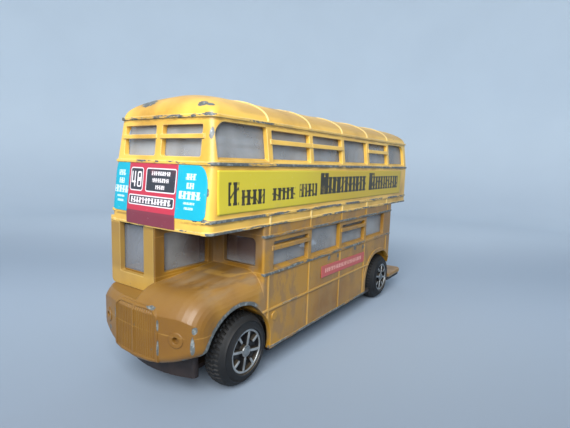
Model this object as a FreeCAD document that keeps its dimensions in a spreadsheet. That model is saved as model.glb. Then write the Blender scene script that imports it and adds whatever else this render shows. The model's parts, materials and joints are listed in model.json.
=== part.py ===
import FreeCAD, Part
import math
import os
import Sketcher
from types import SimpleNamespace
from FreeCAD import Rotation, Vector

# A die-cast toy double-decker bus with a half cab and an open rear platform.
# Frame: +X forward, +Y to the nearside (the left of the bus), +Z up, origin on the ground under the centre.
# Every station is measured forward from the rear wall, and every level up from the ground.

SIZES = {
    "overall_length": (121.0, "rear plate to nose"),
    "body_width": (32.0, "over the lower-deck walls"),
    "wall": (1.2, "casting thickness"),
    "fit_gap": (0.1, "play between a moulding and the casting round it"),
    "overrun": (2.0, "how far a cutter passes the face it cuts"),
    # upper casting
    "split_level": (36.2, "where the upper casting sits on the lower one"),
    "skirt_bead_level": (38.85, "bead under the side advertisement"),
    "sill_bead_level": (50.2, "bead under the upper windows"),
    "gutter_level": (59.6, "gutter"),
    "roof_rise": (5.7, "roof crown above the gutter"),
    "gutter_inset": (1.2, "lean of each upper side wall at the gutter"),
    "skirt_front": (115.5, "front of the canopy, at the middle"),
    "sill_front": (114.2, "front wall at the sill bead"),
    "gutter_front": (113.2, "front wall at the gutter"),
    "gutter_rear": (0.0, "rear wall at the gutter"),
    "front_bow": (0.6, "how far the middle of the front stands ahead of its corners"),
    "front_corner": (1.8, "plan radius of the front corners"),
    "rear_corner": (2.4, "plan radius of the rear corners"),
    "roof_front_fall": (10.0, "length of the roof's front dome"),
    "roof_rear_fall": (7.0, "length of the roof's rear dome"),
    "roof_corner_growth": (8.0, "extra plan radius of the roof's corners at the crown"),
    "bead_height": (0.6, "height of the long beads"),
    "bead_proud": (0.25, "how far the long beads stand out"),
    "gutter_proud": (0.35, "how far the gutter stands out"),
    "rib_width": (0.5, "roof ribs and wall strips"),
    "rib_proud": (0.22, "how far roof ribs and wall strips stand out"),
    # windows
    "bay_front": (95.0, "first pillar, in line with the bulkhead"),
    "bay_pitch": (18.35, "pillar to pillar"),
    "upper_pillar": (1.7, "width of an upper pillar"),
    "lower_pillar": (1.6, "width of a lower pillar"),
    "upper_sill": (51.5, "lower edge of the upper windows"),
    "upper_head": (58.1, "upper edge of the middle upper windows"),
    "end_window_head": (58.6, "upper edge of the first and last upper window"),
    "upper_bar_low": (54.9, "lower edge of the upper window bars"),
    "upper_bar_high": (56.0, "upper edge of the upper window bars"),
    "foremost_window": (112.2, "front edge of the first upper window"),
    "rearmost_window": (4.3, "rear edge of the last upper window"),
    "sill_fall": (0.6, "how far a window sill falls outwards"),
    "end_window_corner": (3.0, "rounded corner of the end windows"),
    "window_corner": (0.4, "corner radius of the other windows"),
    "lower_sill": (26.0, "lower edge of the lower windows"),
    "lower_head": (33.1, "upper edge of the lower windows"),
    "barred_head": (32.2, "upper edge of the barred lower windows"),
    "lower_bar_low": (30.1, "lower edge of the lower window bars"),
    "lower_bar_high": (31.2, "upper edge of the lower window bars"),
    "lower_foremost": (93.2, "front edge of the first lower window"),
    "lower_rearmost": (23.3, "rear edge of the last lower window"),
    "bulkhead_sill": (26.4, "lower edge of the bulkhead windows"),
    "front_window_half": (12.4, "centre line to the outer edge of a front window"),
    "front_pillar_half": (0.95, "half the middle pillar of the front windows"),
    "front_head": (57.9, "upper edge of the front windows"),
    "front_bar_low": (55.1, "lower edge of the front window bars"),
    "front_bar_high": (56.0, "upper edge of the front window bars"),
    "rear_window_half": (8.0, "half width of the emergency window"),
    "bar_lap": (0.7, "how far a window bar runs onto the pillars"),
    "bar_proud": (0.25, "how far a window bar stands out"),
    # lower casting
    "body_low": (5.8, "lower edge of the casting"),
    "waist_level": (24.7, "waist bead under the lower windows"),
    "mid_level": (15.8, "line half way up the lower panels"),
    "drip_level": (33.7, "drip strip over the lower windows"),
    "bulkhead_front": (97.0, "front face of the bulkhead"),
    "saloon_rear": (14.9, "rear end of the nearside wall"),
    "saloon_rear_corner": (1.6, "rounded rear edge of the nearside wall"),
    "rear_strip_station": (20.1, "upright strip behind the last lower window"),
    "platform_top": (7.6, "standing surface of the platform"),
    "platform_thick": (1.4, "platform thickness"),
    "platform_front": (13.6, "front edge of the platform"),
    "platform_side": (3.0, "offside edge of the open platform"),
    "rear_plate_proud": (0.5, "number plate relief on the rear wall"),
    "cab_front": (113.5, "front face of the lower casting's cab"),
    "cab_floor": (24.9, "floor of the cab"),
    "cab_sill": (25.7, "lower edge of the cab's nearside window"),
    "cab_window_front": (112.4, "front edge of the cab's nearside window"),
    "cab_window_rear": (98.9, "rear edge of the cab's side windows"),
    "cab_head": (34.6, "upper edge of the cab's side windows"),
    "cab_lip": (0.45, "thickness of the cab wall's lip beside the windscreen frame"),
    "tab_low": (21.3, "lower edge of the windscreen frame"),
    "tab_near": (0.6, "windscreen frame's nearside edge, short of the centre line"),
    "tab_thick": (1.3, "windscreen frame thickness"),
    "tab_corner": (1.2, "rounded corner of the windscreen frame"),
    "screen_low": (24.5, "lower edge of the windscreen"),
    "screen_near": (3.9, "windscreen's nearside edge, short of the centre line"),
    "screen_off": (12.7, "windscreen's offside edge, short of the centre line"),
    "bulkhead_window_near": (13.5, "nearside edge of the nearside bulkhead window"),
    "bulkhead_window_off": (3.4, "offside edge of the nearside bulkhead window"),
    "saloon_corner": (0.5, "plan radius of the saloon's front corners"),
    "bonnet_rear_level": (25.6, "bonnet top at the bulkhead"),
    "bonnet_front_level": (24.0, "bonnet top where the nose begins to fall"),
    "nose_front": (120.5, "front of the nose at the middle"),
    "nose_bow": (3.3, "how far the nose stands ahead of its corners"),
    "nose_corner": (2.4, "plan radius of the nose corners"),
    "nose_fall": (6.5, "length of the nose's fall at the middle"),
    "nose_side_fall": (2.6, "length of the nose's fall at the sides"),
    "nose_bulge": (1.0, "how far the fall swells out of a straight line"),
    "nose_brow_level": (19.6, "where the nose stops falling and stands upright"),
    "nose_side_brow_level": (16.6, "the same at the sides"),
    "nose_chin": (1.6, "height and depth of the nose's rolled lower edge"),
    "nose_low": (8.4, "lower edge of the nose at the middle"),
    "nose_rise": (4.2, "how much higher the lower edge is at the sides"),
    "shoulder_level": (19.2, "where the bonnet's shoulder leaves the side"),
    "shoulder_width": (5.2, "width of the bonnet's shoulder"),
    "nose_wall": (1.5, "thickness of the bonnet and nose"),
    "grille_half": (7.1, "half width of the grille"),
    "grille_low": (9.7, "lower edge of the grille"),
    "grille_high": (20.9, "crown of the grille"),
    "grille_corner": (2.6, "rounded upper corner of the grille"),
    "grille_frame": (0.55, "width of the grille frame"),
    "grille_proud": (0.25, "how far the grille frame stands out"),
    "slat_width": (0.24, "width of a grille slat"),
    "slat_proud": (0.12, "how far a grille slat stands out"),
    "lamp_side": (11.3, "headlamp, from the centre line"),
    "lamp_level": (15.3, "headlamp height"),
    "lamp_radius": (1.6, "headlamp ring"),
    "lamp_proud": (0.15, "how far a headlamp ring stands out"),
    "lamp_bore": (0.7, "headlamp dimple"),
    "cap_station": (92.3, "filler relief, from the rear wall"),
    "cap_level": (13.7, "filler relief height"),
    "cap_radius": (1.1, "filler relief radius"),
    # running gear
    "front_axle_station": (102.6, "front axle, from the rear wall"),
    "rear_axle_station": (22.9, "rear axle, from the rear wall"),
    "tyre_radius": (8.4, "tyre, over the tread"),
    "wheel_width": (6.1, "tyre width"),
    "wheel_face": (16.4, "wheel face, from the centre line"),
    "shoulder_drop": (2.0, "how far the tyre's shoulder lies behind the wheel face"),
    "sidewall_radius": (7.2, "outer edge of the tyre's flat sidewall"),
    "bead_radius": (5.6, "inner edge of the tyre's sidewall"),
    "ring_radius": (5.05, "silver ring, outer"),
    "ring_inner": (4.5, "silver ring, inner"),
    "dish_depth": (1.4, "depth of the wheel's dish"),
    "hub_radius": (1.35, "hub"),
    "spoke_width": (0.7, "silver spoke"),
    "trim_thick": (0.3, "silver trim thickness"),
    "trim_recess": (0.3, "how far the trim lies behind the wheel face"),
    "short_spoke_start": (2.7, "inner end of a short spoke"),
    "wheel_back_depth": (1.6, "hollow at the back of the wheel"),
    "tread_depth": (0.55, "depth of the tread grooves"),
    "tread_gap": (0.45, "width of a tread groove"),
    "axle_radius": (0.9, "axle"),
    "bore_gap": (0.06, "running clearance of a bore"),
    "dome_radius": (1.15, "domed end of an axle"),
    "dome_height": (0.4, "height of the domed end"),
    "end_float": (0.12, "play of a wheel along its axle"),
    "front_arch_radius": (10.4, "front wheel arch"),
    "front_arch_station": (105.0, "centre of the front arch"),
    "front_arch_level": (9.0, "centre height of the front arch"),
    "tyre_room": (9.1, "radius of the space round a tyre"),
    "rear_arch_front": (38.0, "front edge of the rear arch"),
    "rear_arch_high": (18.9, "crown of the rear arch"),
    "rear_arch_corner": (9.5, "rounded shoulders of the rear arch"),
    "arch_lip": (1.3, "width of the raised lip round the rear arch"),
    "well_side": (8.6, "inner side of the wheel wells"),
    # baseplate and fastenings
    "base_low": (4.8, "underside of the baseplate"),
    "base_half": (15.3, "half width of the baseplate"),
    "base_waist_half": (8.4, "half width between the wheels"),
    "base_front": (116.0, "front of the baseplate's apron"),
    "apron_half": (11.0, "half width of the apron"),
    "apron_bow": (2.2, "how far the middle of the apron stands ahead of its corners"),
    "apron_corner": (0.7, "plan radius of the apron's corners"),
    "apron_high": (9.4, "top of the apron, inside the nose"),
    "bearing_width": (2.0, "width of an axle bearing"),
    "bearing_length": (4.4, "length of an axle bearing"),
    "bearing_high": (10.2, "top of an axle bearing"),
    "tyre_gap": (1.0, "space between a tyre and the baseplate"),
    "post_radius": (1.8, "posts of the upper casting"),
    "front_post_station": (90.8, "front post, from the rear wall"),
    "rear_post_station": (37.0, "rear post, from the rear wall"),
    "beam_width": (3.0, "cross beams that carry the posts"),
    "beam_high": (38.2, "top of the cross beams"),
    "rivet_radius": (0.75, "rivet shank"),
    "rivet_head": (1.7, "rivet head radius"),
    "rivet_sink": (0.5, "depth of a rivet head, flush in the baseplate"),
    "rivet_depth": (2.4, "rivet shank inside the post"),
    # mouldings
    "glazing_thick": (0.7, "clear moulding thickness"),
    "upper_glazing_low": (50.5, "lower edge of the upper glazing"),
    "upper_glazing_high": (59.2, "upper edge of the upper glazing"),
    "lower_glazing_low": (25.2, "lower edge of the lower glazing"),
    "lower_glazing_high": (35.4, "upper edge of the lower glazing"),
    "floor_thick": (1.0, "floor of a seat moulding"),
    "lower_floor": (11.4, "underside of the lower floor"),
    "seat_half": (9.2, "width of a bench"),
    "seat_outer": (13.3, "outer end of a bench, from the centre line"),
    "seat_depth": (4.6, "bench cushion, front to back"),
    "seat_height": (3.0, "bench cushion height"),
    "back_height": (6.6, "bench back height"),
    "back_thick": (1.2, "bench back thickness"),
    "seat_pitch": (10.4, "bench to bench"),
    "stair_front": (13.4, "foot of the stairs"),
    "stair_rear": (4.4, "head of the stairs"),
    "stair_near": (5.5, "nearside edge of the stairs, short of the centre line"),
    "wheel_rim": (1.9, "steering wheel radius"),
    "rim_wire": (0.32, "steering wheel rim wire radius"),
    "column_station": (108.0, "steering column"),
    "column_side": (8.0, "steering column, offside of the centre line"),
    "column_high": (29.0, "top of the steering column"),
    "driver_seat_station": (98.2, "rear of the driver's seat"),
    # labels
    "label_thick": (0.12, "paper labels"),
    "advert_rear": (8.0, "rear edge of the side advertisement"),
    "advert_front": (112.6, "front edge of the side advertisement"),
    "advert_low": (40.1, "lower edge of the side advertisement"),
    "advert_high": (49.0, "upper edge of the side advertisement"),
    "panel_near": (6.9, "nearside edge of the route panel"),
    "panel_off": (9.3, "offside edge of the route panel"),
    "panel_low": (36.5, "lower edge of the route panel"),
    "poster_low": (39.3, "lower edge of the posters"),
    "poster_high": (49.8, "upper edge of the posters"),
    "poster_end": (14.9, "outer edge of the posters"),
    "poster_corner": (1.6, "rounded outer corner of a poster"),
    "strip_rear": (40.0, "rear end of the fleet strip"),
    "strip_front": (69.8, "front end of the fleet strip"),
    "strip_low": (17.9, "lower edge of the fleet strip"),
    "strip_high": (21.3, "upper edge of the fleet strip"),
    "rear_label_half": (7.0, "half width of the rear label"),
}

TREAD_GROOVES = 34
GRILLE_SLATS = 21
STAIR_STEPS = 8
UPPER_BENCHES = 9
LOWER_BENCHES = 5
BARRED_BAYS_UPPER = (0, 1, 3)
BARRED_BAYS_LOWER = (0, 2)
ROOF_ANGLES = (0.0, 16.0, 32.0, 47.0, 60.0, 71.0, 80.0)
ROOF_CORNER_SHARE = 0.85
FIRST_SPOKE = -12.0
HALF_TURN_SHARE = math.sqrt(0.5)
NOSE_STATION_SHARES = (0.0, 0.25, 0.45, 0.6, 0.7, 0.78, 0.85, 0.9, 0.94, 0.97, 0.99, 1.0)

def written(number):
    """How a number is written in an expression of the document."""
    return number.text if isinstance(number, Size) else repr(float(number))


class Size(float):
    """A size of the sheet, or one worked out from its sizes, that also knows how it is written there."""

    def __new__(cls, value, text):
        made = super().__new__(cls, value)
        made.text = text
        return made

    def __add__(self, other):
        return Size(float(self) + float(other), "(%s + %s)" % (written(self), written(other)))

    def __radd__(self, other):
        return Size(float(other) + float(self), "(%s + %s)" % (written(other), written(self)))

    def __sub__(self, other):
        return Size(float(self) - float(other), "(%s - %s)" % (written(self), written(other)))

    def __rsub__(self, other):
        return Size(float(other) - float(self), "(%s - %s)" % (written(other), written(self)))

    def __mul__(self, other):
        return Size(float(self) * float(other), "(%s * %s)" % (written(self), written(other)))

    def __rmul__(self, other):
        return Size(float(other) * float(self), "(%s * %s)" % (written(other), written(self)))

    def __truediv__(self, other):
        return Size(float(self) / float(other), "(%s / %s)" % (written(self), written(other)))

    def __neg__(self):
        return Size(-float(self), "(0 - %s)" % written(self))


doc = FreeCAD.newDocument("toy_bus")
sheet = doc.addObject("Spreadsheet::Sheet", "Sizes")
for row, (alias, (size, note)) in enumerate(SIZES.items(), start=1):
    sheet.set("A%d" % row, alias)
    sheet.set("B%d" % row, str(size))
    sheet.set("C%d" % row, note)
    sheet.setAlias("B%d" % row, alias)
doc.recompute()
d = SimpleNamespace(**{alias: Size(sheet.get(alias), "Sizes." + alias) for alias in SIZES})

AXLES = (("front", d.front_axle_station), ("rear", d.rear_axle_station))
SIDES = (("near", 1), ("off", -1))
half = d.body_width / 2
rear = d.rear_plate_proud - d.overall_length / 2
FAR = d.overall_length


def at(station):
    """A station along the bus as an X of the part's frame."""
    return rear + station


def add_feature(label, shape):
    """An object whose shape is worked out here from the sheet's sizes."""
    feature = doc.addObject("Part::Feature", label)
    feature.Label = label
    feature.Shape = shape
    feature.Placement = FreeCAD.Placement(Vector(0, 0, 0), Rotation())
    return feature


def bind(thing, properties):
    """Ties properties of an object to the sheet."""
    for name, number in properties.items():
        thing.setExpression(name, written(number))


def place(thing, x, y, z):
    """Ties the place of an object to the sheet."""
    bind(thing, {"Placement.Base.x": x, "Placement.Base.y": y, "Placement.Base.z": z})


def primitive(kind, label, sizes, foot, turn=Rotation()):
    """A primitive whose sizes and place are tied to the sheet."""
    thing = doc.addObject("Part::" + kind, label)
    thing.Label = label
    thing.Placement = FreeCAD.Placement(Vector(*foot), turn)
    bind(thing, sizes)
    place(thing, *foot)
    return thing


def block(label, x0, x1, y0, y1, z0, z1):
    """A block between two corners."""
    return primitive("Box", label, {"Length": x1 - x0, "Width": y1 - y0, "Height": z1 - z0}, (x0, y0, z0))


def rod(label, radius, height, foot, turn=Rotation()):
    """A cylinder that stands on a point."""
    return primitive("Cylinder", label, {"Radius": radius, "Height": height}, foot, turn)


def drum(label, radius, y0, y1, station):
    """A cylinder along Y on an axle's line."""
    lying = Rotation(Vector(0, 0, 1), Vector(0, 1, 0))
    return rod(label, radius, y1 - y0, (at(station), y0, d.tyre_radius), lying)


def union(label, things):
    """Several objects fused into one."""
    made = doc.addObject("Part::MultiFuse", label)
    made.Label = label
    made.Shapes = things
    made.Refine = True
    return made


def difference(label, base, tool):
    """One object less another."""
    made = doc.addObject("Part::Cut", label)
    made.Label = label
    made.Base, made.Tool = base, tool
    return made


def empty_body(label, x, y, z):
    """A body at a place tied to the sheet."""
    body = doc.addObject("PartDesign::Body", label)
    body.Label = label
    place(body, x, y, z)
    return body


def origin_of(body, role):
    """A plane or an axis of a body's origin."""
    return next(datum for datum in body.Origin.OriginFeatures if datum.Role == role)


def rectangle(x0, x1, y0, y1):
    """The corners of a rectangle, anticlockwise."""
    return [(x0, y0), (x1, y0), (x1, y1), (x0, y1)]


def arc_between(start, end, radius):
    """The arc of a radius that swells to the right of the way from start to end."""
    chord = end - start
    inward = Vector(-chord.y, chord.x, 0).normalize()
    centre = (start + end) / 2 + inward * math.sqrt(radius ** 2 - chord.Length ** 2 / 4)
    angles = [math.atan2(point.y - centre.y, point.x - centre.x) for point in (start, end)]
    return Part.ArcOfCircle(Part.Circle(centre, Vector(0, 0, 1), radius), *angles)


def sketch(body, label, loops, side=1, turn=0.0, curves=None):
    """Closed loops on a body's XY plane, turned about Y, with every corner and radius tied to the sheet.

    side is -1 for a loop mirrored in Y; curves gives the radius of the edges that are arcs, by number."""
    made = body.newObject("Sketcher::SketchObject", label)
    made.AttachmentSupport = (origin_of(body, "XY_Plane"), [""])
    made.MapMode = "FlatFace"
    made.AttachmentOffset = FreeCAD.Placement(Vector(0, 0, 0), Rotation(Vector(0, 1, 0), turn))
    curves = curves or {}
    first = 0
    for loop in loops:
        places = [(x, side * y) for x, y in loop]
        corners = [Vector(x, y, 0) for x, y in places]
        ties = []
        for k, (x, y) in enumerate(places):
            start, end = corners[k], corners[(k + 1) % len(corners)]
            edge = arc_between(start, end, curves[k]) if k in curves else Part.LineSegment(start, end)
            made.addGeometry(edge, False)
            ties += [("DistanceX", -1, 1, first + k, 1, x), ("DistanceY", -1, 1, first + k, 1, y)]
            if k in curves:
                ties.append(("Radius", first + k, curves[k]))
        for k in range(len(corners)):
            following = (k + 1) % len(corners)
            made.addConstraint(Sketcher.Constraint("Coincident", first + k, 2, first + following, 1))
        for tie in ties:
            number = made.addConstraint(Sketcher.Constraint(*tie[:-1], float(tie[-1])))
            made.setExpression("Constraints[%d]" % number, written(tie[-1]))
        first += len(corners)
    return made


def revolved(body, section):
    """A section turned full circle about the body's Y axis."""
    made = body.newObject("PartDesign::Revolution", section.Name + "_turned")
    made.Profile = section
    made.ReferenceAxis = (section, ["V_Axis"])
    made.Angle = 360
    return made


def slab(body, kind, outline_sketch, thickness):
    """A pad or a pocket of a thickness, half of it to each side of its sketch."""
    made = body.newObject("PartDesign::" + kind, outline_sketch.Name + "_" + kind.lower())
    made.Profile = outline_sketch
    made.SideType = "Symmetric"
    bind(made, {"Length": thickness})
    return made


def standing(body, plan, height):
    """A pad that stands on its plan."""
    made = body.newObject("PartDesign::Pad", plan.Name + "_pad")
    made.Profile = plan
    bind(made, {"Length": height})
    return made


def repeated(body, feature, count):
    """A feature repeated evenly round the body's Y axis."""
    made = body.newObject("PartDesign::PolarPattern", feature.Name + "_ring")
    made.Originals = [feature]
    made.Axis = (origin_of(body, "Y_Axis"), [""])
    made.Angle = 360
    made.Occurrences = count
    body.Tip = made
    return made


def box(x0, x1, y0, y1, z0, z1):
    """A block between two corners."""
    return Part.makeBox(x1 - x0, y1 - y0, z1 - z0, Vector(x0, y0, z0))


def fused(shapes):
    """One solid out of several that meet."""
    return shapes[0].multiFuse(shapes[1:]).removeSplitter() if len(shapes) > 1 else shapes[0]


def rounded(corners, radii):
    """A closed wire through convex corners, each rounded by an arc of its radius."""
    count = len(corners)
    starts, ends = [], []
    for i, corner in enumerate(corners):
        back = (corners[i - 1] - corner).normalize()
        ahead = (corners[(i + 1) % count] - corner).normalize()
        opening = back.getAngle(ahead)
        reach = radii[i] / math.tan(opening / 2)
        starts.append(corner + back * reach)
        ends.append(corner + ahead * reach)
    edges = []
    for i, corner in enumerate(corners):
        if radii[i] > 0:
            middle_way = ((starts[i] - corner).normalize() + (ends[i] - corner).normalize()).normalize()
            opening = (starts[i] - corner).getAngle(ends[i] - corner)
            nearest = radii[i] / math.sin(opening / 2) - radii[i]
            edges.append(Part.Arc(starts[i], corner + middle_way * nearest, ends[i]).toShape())
        following = starts[(i + 1) % count]
        if (following - ends[i]).Length > 1e-6:
            edges.append(Part.makeLine(ends[i], following))
    return Part.Wire(edges)


def across(x0, x1, z0, z1, y0, y1, radii):
    """A prism along Y with a rounded outline; radii run rear-low, front-low, front-high, rear-high."""
    corners = [Vector(x0, y0, z0), Vector(x1, y0, z0), Vector(x1, y0, z1), Vector(x0, y0, z1)]
    return Part.Face(rounded(corners, radii)).extrude(Vector(0, y1 - y0, 0))


def lengthways(y0, y1, z0, z1, x0, x1, radii):
    """A prism along X with a rounded outline; radii run off-low, near-low, near-high, off-high."""
    corners = [Vector(x0, y0, z0), Vector(x0, y1, z0), Vector(x0, y1, z1), Vector(x0, y0, z1)]
    return Part.Face(rounded(corners, radii)).extrude(Vector(x1 - x0, 0, 0))


def outline(level, half_width, front, back, bow, front_radius, rear_radius):
    """A level plan outline: straight sides and rear, rounded corners, and a front bowed as one arc."""
    edge = front - bow
    kf = front_radius * (1 - HALF_TURN_SHARE)
    kr = rear_radius * (1 - HALF_TURN_SHARE)
    w = half_width

    def p(x, y):
        return Vector(x, y, level)

    near, off = p(edge, w - front_radius), p(edge, front_radius - w)
    front_edge = Part.Arc(near, p(front, 0), off).toShape() if bow else Part.makeLine(near, off)
    return Part.Wire([
        Part.makeLine(p(back, rear_radius - w), p(back, w - rear_radius)),
        Part.Arc(p(back, w - rear_radius), p(back + kr, w - kr), p(back + rear_radius, w)).toShape(),
        Part.makeLine(p(back + rear_radius, w), p(edge - front_radius, w)),
        Part.Arc(p(edge - front_radius, w), p(edge - kf, w - kf), p(edge, w - front_radius)).toShape(),
        front_edge,
        Part.Arc(p(edge, front_radius - w), p(edge - kf, kf - w), p(edge - front_radius, -w)).toShape(),
        Part.makeLine(p(edge - front_radius, -w), p(back + rear_radius, -w)),
        Part.Arc(p(back + rear_radius, -w), p(back + kr, kr - w), p(back, rear_radius - w)).toShape(),
    ])


def share_between(level, low, high):
    """How far a level lies from low to high, as a share."""
    return (level - low) / (high - low)


def deck_outline(level, inset):
    """The upper deck's plan at a level: upright to the sill bead, then leaning in to the gutter."""
    if level <= d.skirt_bead_level:
        front, lean, back = d.skirt_front, 0.0, 0.0
    elif level <= d.sill_bead_level:
        part_way = share_between(level, d.skirt_bead_level, d.sill_bead_level)
        front = d.skirt_front + (d.sill_front - d.skirt_front) * part_way
        lean, back = 0.0, 0.0
    else:
        part_way = share_between(level, d.sill_bead_level, d.gutter_level)
        front = d.sill_front + (d.gutter_front - d.sill_front) * part_way
        lean = d.gutter_inset * part_way
        back = d.gutter_rear * part_way
    return outline(level, half - lean - inset, at(front) - inset, at(back) + inset, d.front_bow,
                   d.front_corner, d.rear_corner)


def deck_walls(inset, low, high):
    """The upper deck between two levels, as a ruled solid drawn in by inset."""
    levels = [low] + [k for k in (d.skirt_bead_level, d.sill_bead_level, d.gutter_level) if low < k < high]
    return Part.makeLoft([deck_outline(k, inset) for k in levels + [high]], True, True)


def roof(inset):
    """The domed roof: plan outlines that shrink along an ellipse from the gutter to the crown."""
    wires = []
    crown = d.roof_rise - inset
    width = half - d.gutter_inset - inset
    for angle in ROOF_ANGLES:
        rise, share = math.sin(math.radians(angle)), math.cos(math.radians(angle))
        half_width = width * share
        front_radius = min(d.front_corner + d.roof_corner_growth * (1 - share), ROOF_CORNER_SHARE * half_width)
        rear_radius = min(d.rear_corner + d.roof_corner_growth * (1 - share), ROOF_CORNER_SHARE * half_width)
        front = at(d.gutter_front) - inset - d.roof_front_fall * (1 - share)
        back = at(d.gutter_rear) + inset + d.roof_rear_fall * (1 - share)
        wires.append(outline(d.gutter_level + crown * rise, half_width, front, back, d.front_bow * share,
                             front_radius, rear_radius))
    return Part.makeLoft(wires, True, False)


def band(level, height, proud):
    """A bead all round the upper deck."""
    flat = Part.Face(deck_outline(level, -proud))
    flat.translate(Vector(0, 0, -height / 2))
    return flat.extrude(Vector(0, 0, height))


def pillar(number):
    """Station of a pillar's centre line, counted back from the bulkhead."""
    return d.bay_front - number * d.bay_pitch


def sill_cutters(back, front, sill):
    """Wedges that let the sill of a side window fall outwards, one on each side."""
    inner, outer = half - d.wall, half + d.overrun
    fall = d.sill_fall * (outer - inner) / d.wall
    wedge = Part.Face(Part.makePolygon([Vector(at(back), y, z) for y, z in (
        (inner, sill), (outer, sill - fall), (outer, sill + d.window_corner), (inner, sill + d.window_corner),
        (inner, sill))])).extrude(Vector(front - back, 0, 0))
    return [wedge, mirrored(wedge)]


def window_cutters(bays, sill, head, bars, barred, barred_head):
    """Openings for a row of side windows; each bay is (rear, front), and a barred bay is cut in two."""
    small = [d.window_corner] * 4
    side = half + d.overrun
    cutters = []
    for number, (back, front) in enumerate(bays):
        if number in barred:
            cutters.append(across(at(back), at(front), sill, bars[0], -side, side, small))
            cutters.append(across(at(back), at(front), bars[1], barred_head, -side, side, small))
        else:
            cutters.append(across(at(back), at(front), sill, head, -side, side, small))
        cutters += sill_cutters(back, front, sill)
    return cutters


def upper_bays():
    """The four middle bays of the upper deck, from the front."""
    reach = d.upper_pillar / 2
    return [(pillar(k + 1) + reach, pillar(k) - reach) for k in range(4)]


def upper_body_shape():
    """Upper casting: walls, roof, beads, windows, windscreen frame, cross beams and posts."""
    outer = fused([deck_walls(0, d.split_level, d.gutter_level), roof(0)])
    trim = [band(d.gutter_level, d.bead_height, d.gutter_proud),
            band(d.sill_bead_level, d.bead_height, d.bead_proud)]
    clear_front = box(at(d.skirt_front - d.front_bow - d.front_corner), FAR, -half + d.front_corner,
                      half - d.front_corner, d.split_level, d.sill_bead_level - d.bead_height)
    trim.append(band(d.skirt_bead_level, d.bead_height, d.bead_proud).cut(clear_front))
    low_bead = band(d.split_level + d.bead_height / 2, d.bead_height, d.rib_proud)
    trim.append(low_bead.cut(clear_front))
    leaning = deck_walls(-d.bar_proud, d.sill_bead_level, d.gutter_level)
    for number, (back, front) in enumerate(upper_bays()):
        if number in BARRED_BAYS_UPPER:
            trim.append(leaning.common(box(at(back) - d.bar_lap, at(front) + d.bar_lap, -half, half,
                                           d.upper_bar_low, d.upper_bar_high)))
    front_bar = box(at(d.bay_front), FAR, d.front_pillar_half - d.bar_lap / 2, d.front_window_half + d.bar_lap,
                    d.front_bar_low, d.front_bar_high)
    trim += [leaning.common(front_bar), leaning.common(mirrored(front_bar))]
    swollen = roof(-d.rib_proud)
    for k in range(5):
        x = at(pillar(k))
        trim.append(swollen.common(box(x - d.rib_width / 2, x + d.rib_width / 2, -half, half,
                                       d.gutter_level, d.gutter_level + 2 * d.roof_rise)))
        for side in (-1, 1):
            y0, y1 = sorted((side * (half - d.wall / 2), side * (half + d.rib_proud)))
            trim.append(box(x - d.rib_width / 2, x + d.rib_width / 2, y0, y1, d.split_level, d.skirt_bead_level))
    body = fused([outer] + trim)
    body = body.cut(deck_walls(d.wall, d.split_level - d.overrun, d.gutter_level))
    body = body.cut(roof(d.wall))
    side = half + d.overrun
    reach = d.upper_pillar / 2
    corner, small = d.end_window_corner, d.window_corner
    cutters = window_cutters(upper_bays(), d.upper_sill, d.upper_head, (d.upper_bar_low, d.upper_bar_high),
                             BARRED_BAYS_UPPER, d.upper_head)
    for back, front, radii in ((d.bay_front + reach, d.foremost_window, [small, small, corner, small]),
                               (d.rearmost_window, pillar(4) - reach, [small, small, small, corner])):
        cutters.append(across(at(back), at(front), d.upper_sill, d.end_window_head, -side, side, radii))
        cutters += sill_cutters(back, front, d.upper_sill)
    ahead = at(d.gutter_front) - d.wall - d.overrun
    for sign in (-1, 1):
        y0, y1 = sorted((sign * d.front_pillar_half, sign * d.front_window_half))
        for low, high in ((d.upper_sill, d.front_bar_low), (d.front_bar_high, d.front_head)):
            cutters.append(lengthways(y0, y1, low, high, ahead, FAR, [small] * 4))
    cutters.append(lengthways(-d.rear_window_half, d.rear_window_half, d.upper_sill, d.upper_head, -FAR,
                              at(d.rear_corner), [small, small, corner, corner]))
    body = body.cut(Part.makeCompound(cutters))
    tab_front = at(d.skirt_front - d.front_bow)
    tab = lengthways(-half, -d.tab_near, d.tab_low, d.split_level + d.wall, tab_front - d.tab_thick, tab_front,
                     [d.tab_corner, d.tab_corner, 0.0, 0.0])
    screen = lengthways(-d.screen_off, -d.screen_near, d.screen_low, d.split_level, at(0), FAR, [small] * 4)
    parts = [body, tab.cut(screen)]
    for station in (d.front_post_station, d.rear_post_station):
        x = at(station)
        parts.append(box(x - d.beam_width / 2, x + d.beam_width / 2, -half + d.wall / 2, half - d.wall / 2,
                         d.split_level, d.beam_high))
        post = Part.makeCylinder(d.post_radius, d.beam_high - d.body_low, Vector(x, 0, d.body_low))
        bore = Part.makeCylinder(d.rivet_radius + d.bore_gap, d.rivet_depth + d.bore_gap,
                                 Vector(x, 0, d.body_low))
        parts.append(post.cut(bore))
    return fused(parts)


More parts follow.
